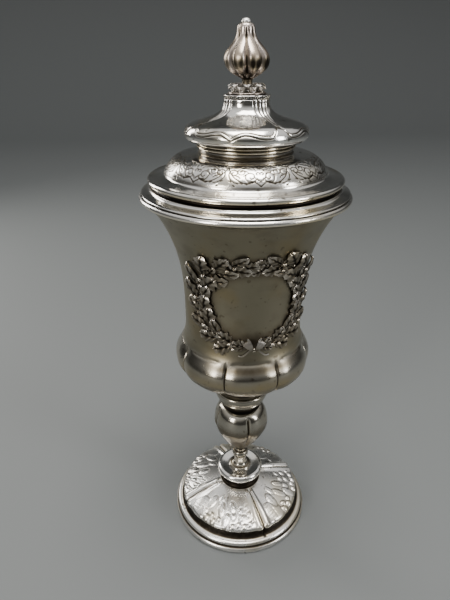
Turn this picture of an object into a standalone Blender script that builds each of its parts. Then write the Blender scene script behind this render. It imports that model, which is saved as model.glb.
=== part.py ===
"""Silver-plated goblet with a loose lid.

The goblet stands on the origin with +Z up. Its front, with the wreath, faces -Y.
Angles run from the front round to +X. Lengths are in metres.
"""
import math

import bmesh
import bpy

MM = 0.001
TURN = 2.0 * math.pi

# Fit between two pieces that touch in the real goblet
GAP = 0.30 * MM

# Foot, from the table up
FOOT_RADIUS = 44.0 * MM
FOOT_RIM_WIDTH = 3.4 * MM
FOOT_RING_HEIGHT = 4.2 * MM
FOOT_GROOVE_DEPTH = 1.9 * MM
FOOT_STEP_HEIGHT = 3.3 * MM
FOOT_STEP_INSET = 1.5 * MM
FOOT_RISER_HEIGHT = 5.6 * MM
FOOT_RISER_INSET = 2.3 * MM
FOOT_PANEL_ROUND = 1.9 * MM
FOOT_PANEL_RISE = 7.6 * MM
FOOT_SEAT_RADIUS = 12.6 * MM
FOOT_WALL = 1.1 * MM
FOOT_CREASE_DEPTH = 1.2 * MM
FRUIT_RADIUS = 3.6 * MM
FRUIT_HEIGHT = 1.3 * MM

# Domed boss between the foot and the stem
BOSS_HEIGHT = 10.6 * MM
BOSS_SEAT_MARGIN = 0.8 * MM
BOSS_NECK_INSET = 0.8 * MM
BOSS_GROOVE_WIDTH = 3.2 * MM
BOSS_RIM_WIDTH = 4.3 * MM
BOSS_RIM_THICKNESS = 4.2 * MM
BOSS_DISH_DEPTH = 1.0 * MM

# Stem, from the boss up to the bowl
STEM_BASE_RADIUS = 7.4 * MM
STEM_BASE_HEIGHT = 4.4 * MM
STEM_RADIUS = 3.8 * MM
STEM_ROD_HEIGHT = 4.6 * MM
STEM_BEAD_RADIUS = 5.4 * MM
STEM_BEAD_HEIGHT = 4.2 * MM
STEM_NECK_HEIGHT = 3.4 * MM
KNOP_RADIUS = 16.9 * MM
KNOP_HEIGHT = 34.8 * MM
KNOP_CREASE_DEPTH = 1.5 * MM
KNOP_SHOULDER_WIDTH = 4.9 * MM
KNOP_GROOVE_DEPTH = 2.6 * MM
KNOP_GROOVE_HEIGHT = 5.2 * MM
COLLAR_RADIUS = 16.2 * MM
COLLAR_HEIGHT = 6.8 * MM
COLLAR_TAPER = 2.4 * MM
COLLAR_LIP = 1.2 * MM
COLLAR_NECK_INSET = 2.4 * MM
COLLAR_NECK_HEIGHT = 8.3 * MM

# Bowl
BOWL_SEAT_RADIUS = 14.6 * MM
WALL_RADIUS = 32.4 * MM
WALL_HEIGHT = 6.8 * MM
BULB_SWELL = 6.4 * MM
BULB_LOWER_HEIGHT = 20.1 * MM
BULB_UPPER_HEIGHT = 17.3 * MM
BULB_TOP_STEP = 0.2 * MM
BULB_CREASE_DEPTH = 1.7 * MM
FLARE_HEIGHT = 67.0 * MM
FLARE_REACH = 18.2 * MM
FLARE_POWER = 2.9
LIP_BEAD_RADIUS = 1.45 * MM
LIP_REACH = 1.0 * MM
BOWL_WALL = 1.2 * MM

# Wreath on the front of the bowl
WREATH_RISE = 19.6 * MM
WREATH_STANDOFF = 0.55 * MM
WREATH_HALF_WIDTH = 30.2 * MM
WREATH_HALF_HEIGHT = 22.9 * MM
WREATH_BAND = 4.6 * MM
WREATH_SIDE_SPREAD = 2.6 * MM
WREATH_LEAF_REACH = 2.6 * MM
WREATH_THICKNESS = 0.9 * MM
WREATH_LEAF_HEIGHT = 1.8 * MM
BOW_REACH = 1.2 * MM
BOW_HEIGHT = 1.6 * MM

# Lid
LID_SEAT_MARGIN = 1.2 * MM
LID_SKIRT_HEIGHT = 2.9 * MM
LID_SKIRT_INSET = 4.3 * MM
LID_UNDERCUT = 1.8 * MM
LID_ROLL_OVERHANG = 1.0 * MM
LID_ROLL_THICKNESS = 2.9 * MM
LID_ROLL_LIFT = 2.0 * MM
LID_FLANGE_WIDTH = 8.6 * MM
LID_FLANGE_RISE = 0.8 * MM
FRIEZE_STEP_HEIGHT = 1.1 * MM
FRIEZE_HEIGHT = 8.2 * MM
FRIEZE_WIDTH = 9.4 * MM
SHOULDER_WIDTH = 7.0 * MM
SHOULDER_RISE = 0.5 * MM
WAIST_HEIGHT = 3.1 * MM
WAIST_RING_REACH = 1.5 * MM
WAIST_RING_HEIGHT = 2.4 * MM
OGEE_OVERHANG = 6.0 * MM
OGEE_LOWER_HEIGHT = 4.0 * MM
OGEE_UPPER_HEIGHT = 14.5 * MM
OGEE_CREASE_DEPTH = 0.9 * MM
BRACKET_WAVE = 1.2 * MM
BRACKET_STEP = 0.6 * MM
NECK_RADIUS = 10.8 * MM
LID_WALL = 1.1 * MM
BEZEL_DEPTH = 7.0 * MM
BEZEL_CLEARANCE = 0.6 * MM

# Milled disk under the finial
DISK_OVERHANG = 0.3 * MM
DISK_HEIGHT = 1.5 * MM
DISK_CUT_DEPTH = 0.35 * MM

# Finial
CALYX_MARGIN = 2.3 * MM
CALYX_RIM_HEIGHT = 0.7 * MM
SHORT_LEAF_WIDTH = 2.3 * MM
SHORT_LEAF_HEIGHT = 1.7 * MM
TALL_LEAF_HEIGHT = 3.5 * MM
BUD_NECK_RADIUS = 2.4 * MM
BUD_NECK_HEIGHT = 5.9 * MM
BUD_RADIUS = 10.5 * MM
BUD_BELLY_HEIGHT = 8.5 * MM
BUD_TAPER_HEIGHT = 12.9 * MM
BUD_TIP_RADIUS = 4.1 * MM
BUD_CREASE_DEPTH = 1.3 * MM
BUTTON_RADIUS = 2.0 * MM
BUTTON_HEIGHT = 2.9 * MM
FINIAL_LEAN = math.radians(2.4)

# Counts of what repeats
PANELS = 4
FOOT_CREASE_ANGLE = math.radians(15.0)
KNOP_CREASE_ANGLE = math.radians(9.0)
BULB_CREASE_ANGLE = math.radians(21.0)
LID_CREASE_ANGLE = math.radians(22.5)
BUD_CREASE_ANGLE = math.radians(-10.0)
FRUITS_ACROSS = 5
BULB_LOBES = 8
BUD_LOBES = 8
LEAVES_PER_TIER = 8
WREATH_LEAVES = 18
DISK_CUTS = 26
FOOT_SIDES = 48
STEM_SIDES = 20
BOSS_SIDES = 20
BOWL_SIDES = 40
LID_SIDES = 40
CALYX_SIDES = 32
BUD_SIDES = 16

# Radii that follow from the sizes above
BOSS_BASE_RADIUS = FOOT_SEAT_RADIUS - BOSS_SEAT_MARGIN
BOSS_DISH_RADIUS = STEM_BASE_RADIUS + BOSS_GROOVE_WIDTH
BOSS_RADIUS = BOSS_DISH_RADIUS + BOSS_RIM_WIDTH
KNOP_TOP_RADIUS = KNOP_RADIUS - KNOP_SHOULDER_WIDTH
KNOP_GROOVE_RADIUS = KNOP_TOP_RADIUS - KNOP_GROOVE_DEPTH
BULB_RADIUS = WALL_RADIUS + BULB_SWELL
LIP_CENTRE_RADIUS = WALL_RADIUS + FLARE_REACH + LIP_REACH
LID_SEAT_RADIUS = LIP_CENTRE_RADIUS + LIP_BEAD_RADIUS - LID_SEAT_MARGIN
LID_SKIRT_RADIUS = LID_SEAT_RADIUS - LID_SKIRT_INSET
LID_ROLL_RADIUS = LID_SKIRT_RADIUS + LID_ROLL_OVERHANG
FRIEZE_RADIUS = LID_ROLL_RADIUS - LID_FLANGE_WIDTH
FRIEZE_TOP_RADIUS = FRIEZE_RADIUS - FRIEZE_WIDTH
WAIST_RING_RADIUS = FRIEZE_TOP_RADIUS - SHOULDER_WIDTH
WAIST_RADIUS = WAIST_RING_RADIUS - WAIST_RING_REACH
OGEE_RADIUS = WAIST_RING_RADIUS + OGEE_OVERHANG
DISK_RADIUS = NECK_RADIUS + DISK_OVERHANG
CALYX_RADIUS = DISK_RADIUS - CALYX_MARGIN
TALL_LEAF_RADIUS = CALYX_RADIUS - SHORT_LEAF_WIDTH

# Heights where one piece stands on the next
FOOT_TOP = FOOT_RING_HEIGHT + FOOT_STEP_HEIGHT + FOOT_RISER_HEIGHT + FOOT_PANEL_ROUND + FOOT_PANEL_RISE
BOSS_BASE = FOOT_TOP + GAP
STEM_BASE = BOSS_BASE + BOSS_HEIGHT - BOSS_DISH_DEPTH + GAP
STEM_HEIGHT = (STEM_BASE_HEIGHT + STEM_ROD_HEIGHT + STEM_BEAD_HEIGHT + STEM_NECK_HEIGHT + KNOP_HEIGHT
               + KNOP_GROOVE_HEIGHT + COLLAR_HEIGHT + COLLAR_LIP + COLLAR_NECK_HEIGHT)
BOWL_BASE = STEM_BASE + STEM_HEIGHT + GAP
BULB_MIDDLE = BOWL_BASE + BULB_LOWER_HEIGHT
BULB_TOP = BULB_MIDDLE + BULB_UPPER_HEIGHT
FLARE_START = BULB_TOP + WALL_HEIGHT
LIP_CENTRE = FLARE_START + FLARE_HEIGHT
LIP_TOP = LIP_CENTRE + LIP_BEAD_RADIUS
LID_SEAT = LIP_TOP + GAP
ROLL_MIDDLE = LID_SEAT + LID_SKIRT_HEIGHT + LID_ROLL_LIFT + 0.5 * LID_ROLL_THICKNESS
FLANGE_TOP = ROLL_MIDDLE + 0.5 * LID_ROLL_THICKNESS + LID_FLANGE_RISE
FRIEZE_FOOT = FLANGE_TOP + FRIEZE_STEP_HEIGHT
FRIEZE_TOP = FRIEZE_FOOT + FRIEZE_HEIGHT
WAIST_BASE = FRIEZE_TOP + SHOULDER_RISE
RING_BASE = WAIST_BASE + WAIST_HEIGHT
OGEE_BASE = RING_BASE + WAIST_RING_HEIGHT
OGEE_EDGE = OGEE_BASE + OGEE_LOWER_HEIGHT
LID_TOP = OGEE_EDGE + OGEE_UPPER_HEIGHT
DISK_BASE = LID_TOP + GAP
FINIAL_BASE = DISK_BASE + DISK_HEIGHT + GAP
WREATH_MIDDLE = FLARE_START + WREATH_RISE

SILVER = (0.74, 0.72, 0.67, 1.0)
SATIN_SILVER = (0.46, 0.46, 0.42, 1.0)
DARK_SILVER = (0.50, 0.48, 0.44, 1.0)


def clear_scene():
    """Start from an empty file."""
    for item in list(bpy.data.objects):
        bpy.data.objects.remove(item, do_unlink=True)


def metal(name, colour, roughness):
    """Plated metal of one colour and polish."""
    material = bpy.data.materials.new(name)
    material.use_nodes = True
    shader = material.node_tree.nodes["Principled BSDF"]
    shader.inputs["Base Color"].default_value = colour
    shader.inputs["Metallic"].default_value = 1.0
    shader.inputs["Roughness"].default_value = roughness
    material.diffuse_color = colour
    return material


def curve(start, leaving, arriving, end, steps):
    """Points of a cubic curve through radius and height, without its first point."""
    points = []
    for step in range(1, steps + 1):
        share = step / steps
        rest = 1.0 - share
        weights = (rest ** 3, 3.0 * share * rest ** 2, 3.0 * share ** 2 * rest, share ** 3)
        corners = (start, leaving, arriving, end)
        radius = sum(weight * corner[0] for weight, corner in zip(weights, corners))
        height = sum(weight * corner[1] for weight, corner in zip(weights, corners))
        points.append((radius, height))
    return points


def arc(centre, width, height, first, last, steps):
    """Points of an elliptic arc in a profile; 0 degrees points outward and 90 up."""
    points = []
    for step in range(steps + 1):
        angle = math.radians(first + (last - first) * step / steps)
        points.append((centre[0] + width * math.cos(angle), centre[1] + height * math.sin(angle)))
    return points


def inward(profile, wall):
    """The profile moved by a wall's thickness to its left side, which is the hollow one."""
    moved = []
    for index, (radius, height) in enumerate(profile):
        before = profile[max(index - 1, 0)]
        after = profile[min(index + 1, len(profile) - 1)]
        run = after[0] - before[0]
        rise = after[1] - before[1]
        length = math.hypot(run, rise)
        moved.append((radius - wall * rise / length, height + wall * run / length))
    return moved


def crease(angle, count, turn):
    """1 on each of the creases that part a round form into lobes, falling to 0 half way between."""
    pitch = TURN / count
    share = abs(((angle - turn) / pitch + 0.5) % 1.0 - 0.5) * 2.0
    return (1.0 - share) ** 3


def unchanged(radius, height, angle):
    """A plain turned surface."""
    return radius, height


def ring_points(mesh, radius, height, sides, shape, start):
    """One row of points round the axis from a start angle, or a single point on the axis."""
    if radius == 0.0:
        return [mesh.verts.new((0.0, 0.0, height))]
    row = []
    for side in range(sides):
        angle = start + TURN * side / sides
        reach, level = shape(radius, height, angle)
        row.append(mesh.verts.new((reach * math.sin(angle), -reach * math.cos(angle), level)))
    return row


def close_band(mesh, below, above):
    """Faces between two rows; the shorter row may be a pole or hold half the points of the other."""
    count = max(len(below), len(above))
    for step in range(count):
        after = (step + 1) % count
        corners = []
        for row, place in ((below, step), (below, after), (above, after), (above, step)):
            corner = row[place * len(row) // count]
            if corner not in corners:
                corners.append(corner)
        mesh.faces.new(corners)


def finish_object(name, mesh, material, sharp_angle):
    """Turn the mesh into a named object with smooth round faces."""
    data = bpy.data.meshes.new(name)
    bmesh.ops.triangulate(mesh, faces=mesh.faces[:])
    mesh.to_mesh(data)
    mesh.free()
    data.materials.append(material)
    data.shade_smooth()
    data.set_sharp_from_angle(angle=math.radians(sharp_angle))
    item = bpy.data.objects.new(name, data)
    bpy.context.scene.collection.objects.link(item)
    return item


def turned(name, stretches, material, start=0.0, sharp_angle=38.0):
    """Close a body from stretches of profile, each with its own number of sides and its own shape."""
    mesh = bmesh.new()
    rows = []
    for profile, sides, shape in stretches:
        for radius, height in profile:
            rows.append(ring_points(mesh, radius, height, sides, shape, start))
    for below, above in zip(rows[:-1], rows[1:]):
        close_band(mesh, below, above)
    return finish_object(name, mesh, material, sharp_angle)


def foot_outline():
    """Outside of the foot from the table to the seat of the boss."""
    groove = FOOT_RADIUS - FOOT_GROOVE_DEPTH
    step_top = FOOT_RING_HEIGHT + FOOT_STEP_HEIGHT
    riser_foot = groove - FOOT_STEP_INSET
    riser_head = riser_foot - FOOT_RISER_INSET
    riser_top = step_top + FOOT_RISER_HEIGHT
    panel_edge = riser_head - FOOT_PANEL_ROUND
    panel_base = riser_top + FOOT_PANEL_ROUND
    seat = FOOT_SEAT_RADIUS
    ring_middle = (groove, 0.5 * FOOT_RING_HEIGHT)
    ring = arc(ring_middle, FOOT_GROOVE_DEPTH, 0.5 * FOOT_RING_HEIGHT, -20.0, 75.0, 2)
    step_middle = (riser_foot, FOOT_RING_HEIGHT + 0.5 * FOOT_STEP_HEIGHT)
    step = arc(step_middle, FOOT_STEP_INSET, 0.5 * FOOT_STEP_HEIGHT, -70.0, 80.0, 2)
    foot = [(FOOT_RADIUS, 0.0)]
    edge = [(riser_head, riser_top), (panel_edge, panel_base)]
    reach = panel_edge - seat
    panel = curve((panel_edge, panel_base),
                  (panel_edge - 0.3 * reach, panel_base + 0.5 * FOOT_PANEL_RISE),
                  (seat + 0.35 * reach, FOOT_TOP - 0.2 * FOOT_PANEL_RISE),
                  (seat, FOOT_TOP), 6)
    return foot + ring[1:], step, edge, panel


def foot_fruit(radius, angle):
    """Height of the chased fruit and leaves that fill each panel, in two staggered rows."""
    panel = TURN / PANELS
    across = ((angle - FOOT_CREASE_ANGLE) % panel) - 0.5 * panel
    panel_edge = FOOT_RADIUS - FOOT_GROOVE_DEPTH - FOOT_STEP_INSET - FOOT_RISER_INSET - FOOT_PANEL_ROUND
    reach = panel_edge - FOOT_SEAT_RADIUS
    pitch = 0.8 * panel / FRUITS_ACROSS
    height = 0.0
    for row, share in enumerate((0.85, 0.52)):
        middle = FOOT_SEAT_RADIUS + share * reach
        fruits = FRUITS_ACROSS - row
        for fruit in range(fruits):
            place = (fruit - 0.5 * (fruits - 1)) * pitch
            along = radius * math.sin(across - place)
            distance = math.hypot(along, radius - middle) / FRUIT_RADIUS
            if distance < 1.0:
                height = max(height, FRUIT_HEIGHT * math.sqrt(1.0 - distance ** 2))
    return height


def make_foot():
    """Raised foot: a ringed rim, a steep riser and four chased panels with a crease between each."""
    rim, step, edge, panel = foot_outline()

    def creased(radius, height, angle):
        dent = FOOT_CREASE_DEPTH * crease(angle, PANELS, FOOT_CREASE_ANGLE)
        return radius - dent, height - 0.4 * dent

    def chased(radius, height, angle):
        dent = FOOT_CREASE_DEPTH * crease(angle, PANELS, FOOT_CREASE_ANGLE)
        inner = min(1.0, (radius - FOOT_SEAT_RADIUS) / FRUIT_RADIUS)
        return radius, height - inner * dent + inner * foot_fruit(radius, angle)

    rim_inside = FOOT_RADIUS - FOOT_RIM_WIDTH
    riser_head = edge[0][0]
    under = [(0.0, FOOT_TOP - FOOT_WALL)]
    under += [(0.9 * FOOT_SEAT_RADIUS, FOOT_TOP - FOOT_WALL)]
    under += list(reversed(inward([edge[1]] + panel[1:5:2], 2.0 * FOOT_WALL)))
    under += [(riser_head - FOOT_CREASE_DEPTH - FOOT_WALL, edge[0][1] - FOOT_WALL)]
    under += [(min(rim_inside, step[-1][0] - FOOT_WALL), step[-1][1] - FOOT_WALL)]
    under += [(rim_inside, 0.0)]
    stretches = [
        (under, FOOT_SIDES // 2, unchanged),
        (rim + step, FOOT_SIDES, unchanged),
        (edge, FOOT_SIDES, creased),
        (panel[:-1], FOOT_SIDES, chased),
        ([panel[-1]], FOOT_SIDES // 2, unchanged),
        ([(0.0, FOOT_TOP)], 1, unchanged),
    ]
    return turned("foot", stretches, metal("foot_silver", SILVER, 0.20), FOOT_CREASE_ANGLE)


def make_boss():
    """Domed collar: a waisted neck below, a round rim and a dished top that holds the stem."""
    rim_middle = BOSS_BASE + BOSS_HEIGHT - 0.5 * BOSS_RIM_THICKNESS
    rim_centre = (BOSS_RADIUS - 0.5 * BOSS_RIM_WIDTH, rim_middle)
    rim = arc(rim_centre, 0.5 * BOSS_RIM_WIDTH, 0.5 * BOSS_RIM_THICKNESS, -60.0, 110.0, 5)
    seat_height = BOSS_BASE + BOSS_HEIGHT - BOSS_DISH_DEPTH
    profile = [(0.0, BOSS_BASE), (BOSS_BASE_RADIUS, BOSS_BASE)]
    profile += [(BOSS_BASE_RADIUS - BOSS_NECK_INSET, 0.55 * BOSS_BASE + 0.45 * rim[0][1])]
    profile += rim
    profile += [(BOSS_DISH_RADIUS, seat_height), (0.0, seat_height)]
    return turned("foot_boss", [(profile, BOSS_SIDES, unchanged)], metal("boss_silver", SILVER, 0.16))


def make_stem():
    """Baluster with a flared base, a small bead, a four-lobed knop and a cupped collar."""
    base = STEM_BASE
    rod = base + STEM_BASE_HEIGHT
    bead = rod + STEM_ROD_HEIGHT
    neck = bead + STEM_BEAD_HEIGHT
    knop = neck + STEM_NECK_HEIGHT
    knop_top = knop + KNOP_HEIGHT
    collar = knop_top + KNOP_GROOVE_HEIGHT
    lip = collar + COLLAR_HEIGHT
    top = lip + COLLAR_LIP + COLLAR_NECK_HEIGHT
    lower = [(0.0, base), (STEM_BASE_RADIUS, base)]
    lower += curve((STEM_BASE_RADIUS, base), (0.7 * STEM_BASE_RADIUS, base + 0.3 * STEM_BASE_HEIGHT),
                   (STEM_RADIUS, base + 0.5 * STEM_BASE_HEIGHT), (STEM_RADIUS, rod), 3)
    lower += [(STEM_RADIUS, bead)]
    lower += [(STEM_BEAD_RADIUS, bead + 0.33 * STEM_BEAD_HEIGHT)]
    lower += [(STEM_BEAD_RADIUS, bead + 0.67 * STEM_BEAD_HEIGHT)]
    lower += [(1.05 * STEM_RADIUS, neck)]
    knop_foot = (1.2 * STEM_RADIUS, knop)
    widest = (KNOP_RADIUS, knop + 0.63 * KNOP_HEIGHT)
    belly = curve(knop_foot, (0.45 * KNOP_RADIUS, knop + 0.09 * KNOP_HEIGHT),
                  (KNOP_RADIUS, knop + 0.48 * KNOP_HEIGHT), widest, 4)
    shoulder = curve(widest, (KNOP_RADIUS, knop + 0.83 * KNOP_HEIGHT),
                     (KNOP_TOP_RADIUS + 0.7 * KNOP_SHOULDER_WIDTH, knop + 0.95 * KNOP_HEIGHT),
                     (KNOP_TOP_RADIUS, knop_top), 4)

    def lobed(radius, height, angle):
        dent = KNOP_CREASE_DEPTH * crease(angle, PANELS, KNOP_CREASE_ANGLE)
        share = min(1.0, max(0.0, (radius - KNOP_TOP_RADIUS) / KNOP_SHOULDER_WIDTH))
        return radius - share * dent, height

    upper = [(KNOP_GROOVE_RADIUS, knop_top), (KNOP_GROOVE_RADIUS, collar)]
    upper += [(COLLAR_RADIUS - COLLAR_TAPER, collar)]
    upper += curve((COLLAR_RADIUS - COLLAR_TAPER, collar),
                   (COLLAR_RADIUS - 0.5 * COLLAR_TAPER, collar + 0.15 * COLLAR_HEIGHT),
                   (COLLAR_RADIUS, collar + 0.5 * COLLAR_HEIGHT), (COLLAR_RADIUS, lip), 3)
    upper += [(COLLAR_RADIUS - 0.7 * COLLAR_LIP, lip + COLLAR_LIP)]
    upper += [(BOWL_SEAT_RADIUS - COLLAR_NECK_INSET, top - 0.6 * COLLAR_NECK_HEIGHT)]
    upper += [(BOWL_SEAT_RADIUS, top), (0.0, top)]
    stretches = [
        (lower, STEM_SIDES, unchanged),
        ([knop_foot] + belly + shoulder, STEM_SIDES, lobed),
        (upper, STEM_SIDES, unchanged),
    ]
    return turned("stem", stretches, metal("stem_silver", SILVER, 0.18), KNOP_CREASE_ANGLE)


def wall_radius(height):
    """Outside radius of the bowl's wall, which flares above FLARE_START."""
    share = max(0.0, (height - FLARE_START) / FLARE_HEIGHT)
    return WALL_RADIUS + FLARE_REACH * share ** FLARE_POWER


def bowl_outline():
    """Outside of the bowl: its seat, the bulb and the flared wall up to the lip's bead."""
    seat = (BOWL_SEAT_RADIUS, BOWL_BASE)
    middle = (BULB_RADIUS, BULB_MIDDLE)
    reach = BULB_RADIUS - BOWL_SEAT_RADIUS
    top = (WALL_RADIUS + BULB_TOP_STEP, BULB_TOP)
    bulb = curve(seat, (BOWL_SEAT_RADIUS + 0.62 * reach, BOWL_BASE + 0.38 * BULB_LOWER_HEIGHT),
                 (BULB_RADIUS, BOWL_BASE + 0.35 * BULB_LOWER_HEIGHT), middle, 5)
    bulb += curve(middle, (BULB_RADIUS, BULB_MIDDLE + 0.29 * BULB_UPPER_HEIGHT),
                  (top[0] + BULB_TOP_STEP, BULB_MIDDLE + 0.51 * BULB_UPPER_HEIGHT), top, 4)
    heights = [BULB_TOP + 0.35 * WALL_HEIGHT]
    heights += [FLARE_START + FLARE_HEIGHT * share for share in (0.14, 0.42, 0.62, 0.77, 0.90)]
    wall = [(wall_radius(height), height) for height in heights]
    return seat, bulb, wall


def skin_radius(height):
    """Outside radius of the bowl at a height above the bulb's middle, along its outline."""
    seat, bulb, wall = bowl_outline()
    outline = bulb + wall + [(LIP_CENTRE_RADIUS, LIP_CENTRE)]
    for (near_radius, near), (far_radius, far) in zip(outline[:-1], outline[1:]):
        if near <= height <= far:
            return near_radius + (far_radius - near_radius) * (height - near) / (far - near)
    return BULB_RADIUS


def make_bowl():
    """Raised bowl: an eight-lobed bulb, a plain wall and a flared lip with a bead."""
    seat, bulb, wall = bowl_outline()

    def lobed(radius, height, angle):
        share = (height - BOWL_BASE) / (BULB_TOP - BOWL_BASE)
        fade = math.sin(math.pi * min(1.0, max(0.0, share))) ** 0.6
        dent = BULB_CREASE_DEPTH * crease(angle, BULB_LOBES, BULB_CREASE_ANGLE)
        return radius - fade * dent, height

    bead = arc((LIP_CENTRE_RADIUS, LIP_CENTRE), LIP_BEAD_RADIUS, LIP_BEAD_RADIUS, -110.0, 90.0, 4)
    outline = [seat] + bulb + wall
    hollow = inward(outline, BOWL_WALL + 0.6 * BULB_CREASE_DEPTH)[2:len(bulb)]
    hollow += inward(outline, BOWL_WALL)[len(bulb) + 1:]
    inside = list(reversed(hollow[::2]))
    floor_height = BOWL_BASE + BOWL_WALL
    stretches = [
        ([(0.0, BOWL_BASE), seat], BOWL_SIDES // 2, unchanged),
        (bulb, BOWL_SIDES, lobed),
        (wall + bead, BOWL_SIDES, unchanged),
        (inside, BOWL_SIDES // 2, unchanged),
        ([(BOWL_SEAT_RADIUS, floor_height), (0.0, floor_height)], BOWL_SIDES // 2, unchanged),
    ]
    return turned("bowl", stretches, metal("bowl_satin_silver", SATIN_SILVER, 0.34), BULB_CREASE_ANGLE)


def wreath_point(mesh, along, height, lift):
    """A point above the wall: along the round of the bowl, up it and out from it."""
    angle = along / WALL_RADIUS
    reach = skin_radius(height) + lift
    return mesh.verts.new((reach * math.sin(angle), -reach * math.cos(angle), height))


def make_wreath():
    """Cast wreath: two rows of overlapping leaves on one band, with a ribbon bow at the bottom."""
    samples_per_leaf = 4
    samples = WREATH_LEAVES * samples_per_leaf
    mesh = bmesh.new()
    rows = [[] for _ in range(8)]
    for sample in range(samples):
        angle = TURN * sample / samples
        leaf = (sample % samples_per_leaf) / samples_per_leaf
        outer_leaf = math.sin(math.pi * leaf)
        inner_leaf = math.sin(math.pi * ((leaf + 0.5) % 1.0))
        bow = max(0.0, math.cos(angle)) ** 24
        side = abs(math.sin(angle)) ** 2
        out_x = math.sin(angle)
        out_z = -math.cos(angle)
        band = WREATH_BAND + WREATH_SIDE_SPREAD * side
        outer = band + WREATH_LEAF_REACH * outer_leaf + BOW_REACH * bow
        inner = -(band + 0.5 * WREATH_LEAF_REACH * inner_leaf) - 0.2 * BOW_REACH * bow
        edge = WREATH_STANDOFF + WREATH_THICKNESS
        places = (
            (outer, WREATH_STANDOFF),
            (outer, edge),
            (0.62 * outer, edge + WREATH_LEAF_HEIGHT * outer_leaf + BOW_HEIGHT * bow),
            (0.0, edge + 0.25 * WREATH_LEAF_HEIGHT + BOW_HEIGHT * bow),
            (0.62 * inner, edge + WREATH_LEAF_HEIGHT * inner_leaf),
            (inner, edge),
            (inner, WREATH_STANDOFF),
            (0.0, WREATH_STANDOFF),
        )
        for row, (shift, lift) in zip(rows, places):
            along = (WREATH_HALF_WIDTH + shift) * out_x
            height = WREATH_MIDDLE + (WREATH_HALF_HEIGHT + shift) * out_z
            row.append(wreath_point(mesh, along, height, lift))
    for below, above in zip(rows, rows[1:] + rows[:1]):
        close_band(mesh, below, above)
    return finish_object("wreath", mesh, metal("wreath_silver", DARK_SILVER, 0.30), 30.0)


def bracket_wave(angle):
    """Rise of the bracket line round each panel: a point down in the middle and up at the creases."""
    pitch = TURN / PANELS
    share = abs(((angle - LID_CREASE_ANGLE) / pitch) % 1.0 - 0.5) * 2.0
    return 0.5 * (1.0 - math.cos(2.0 * TURN * share)) - (1.0 - share) ** 6 + 1.6 * share ** 6


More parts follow.
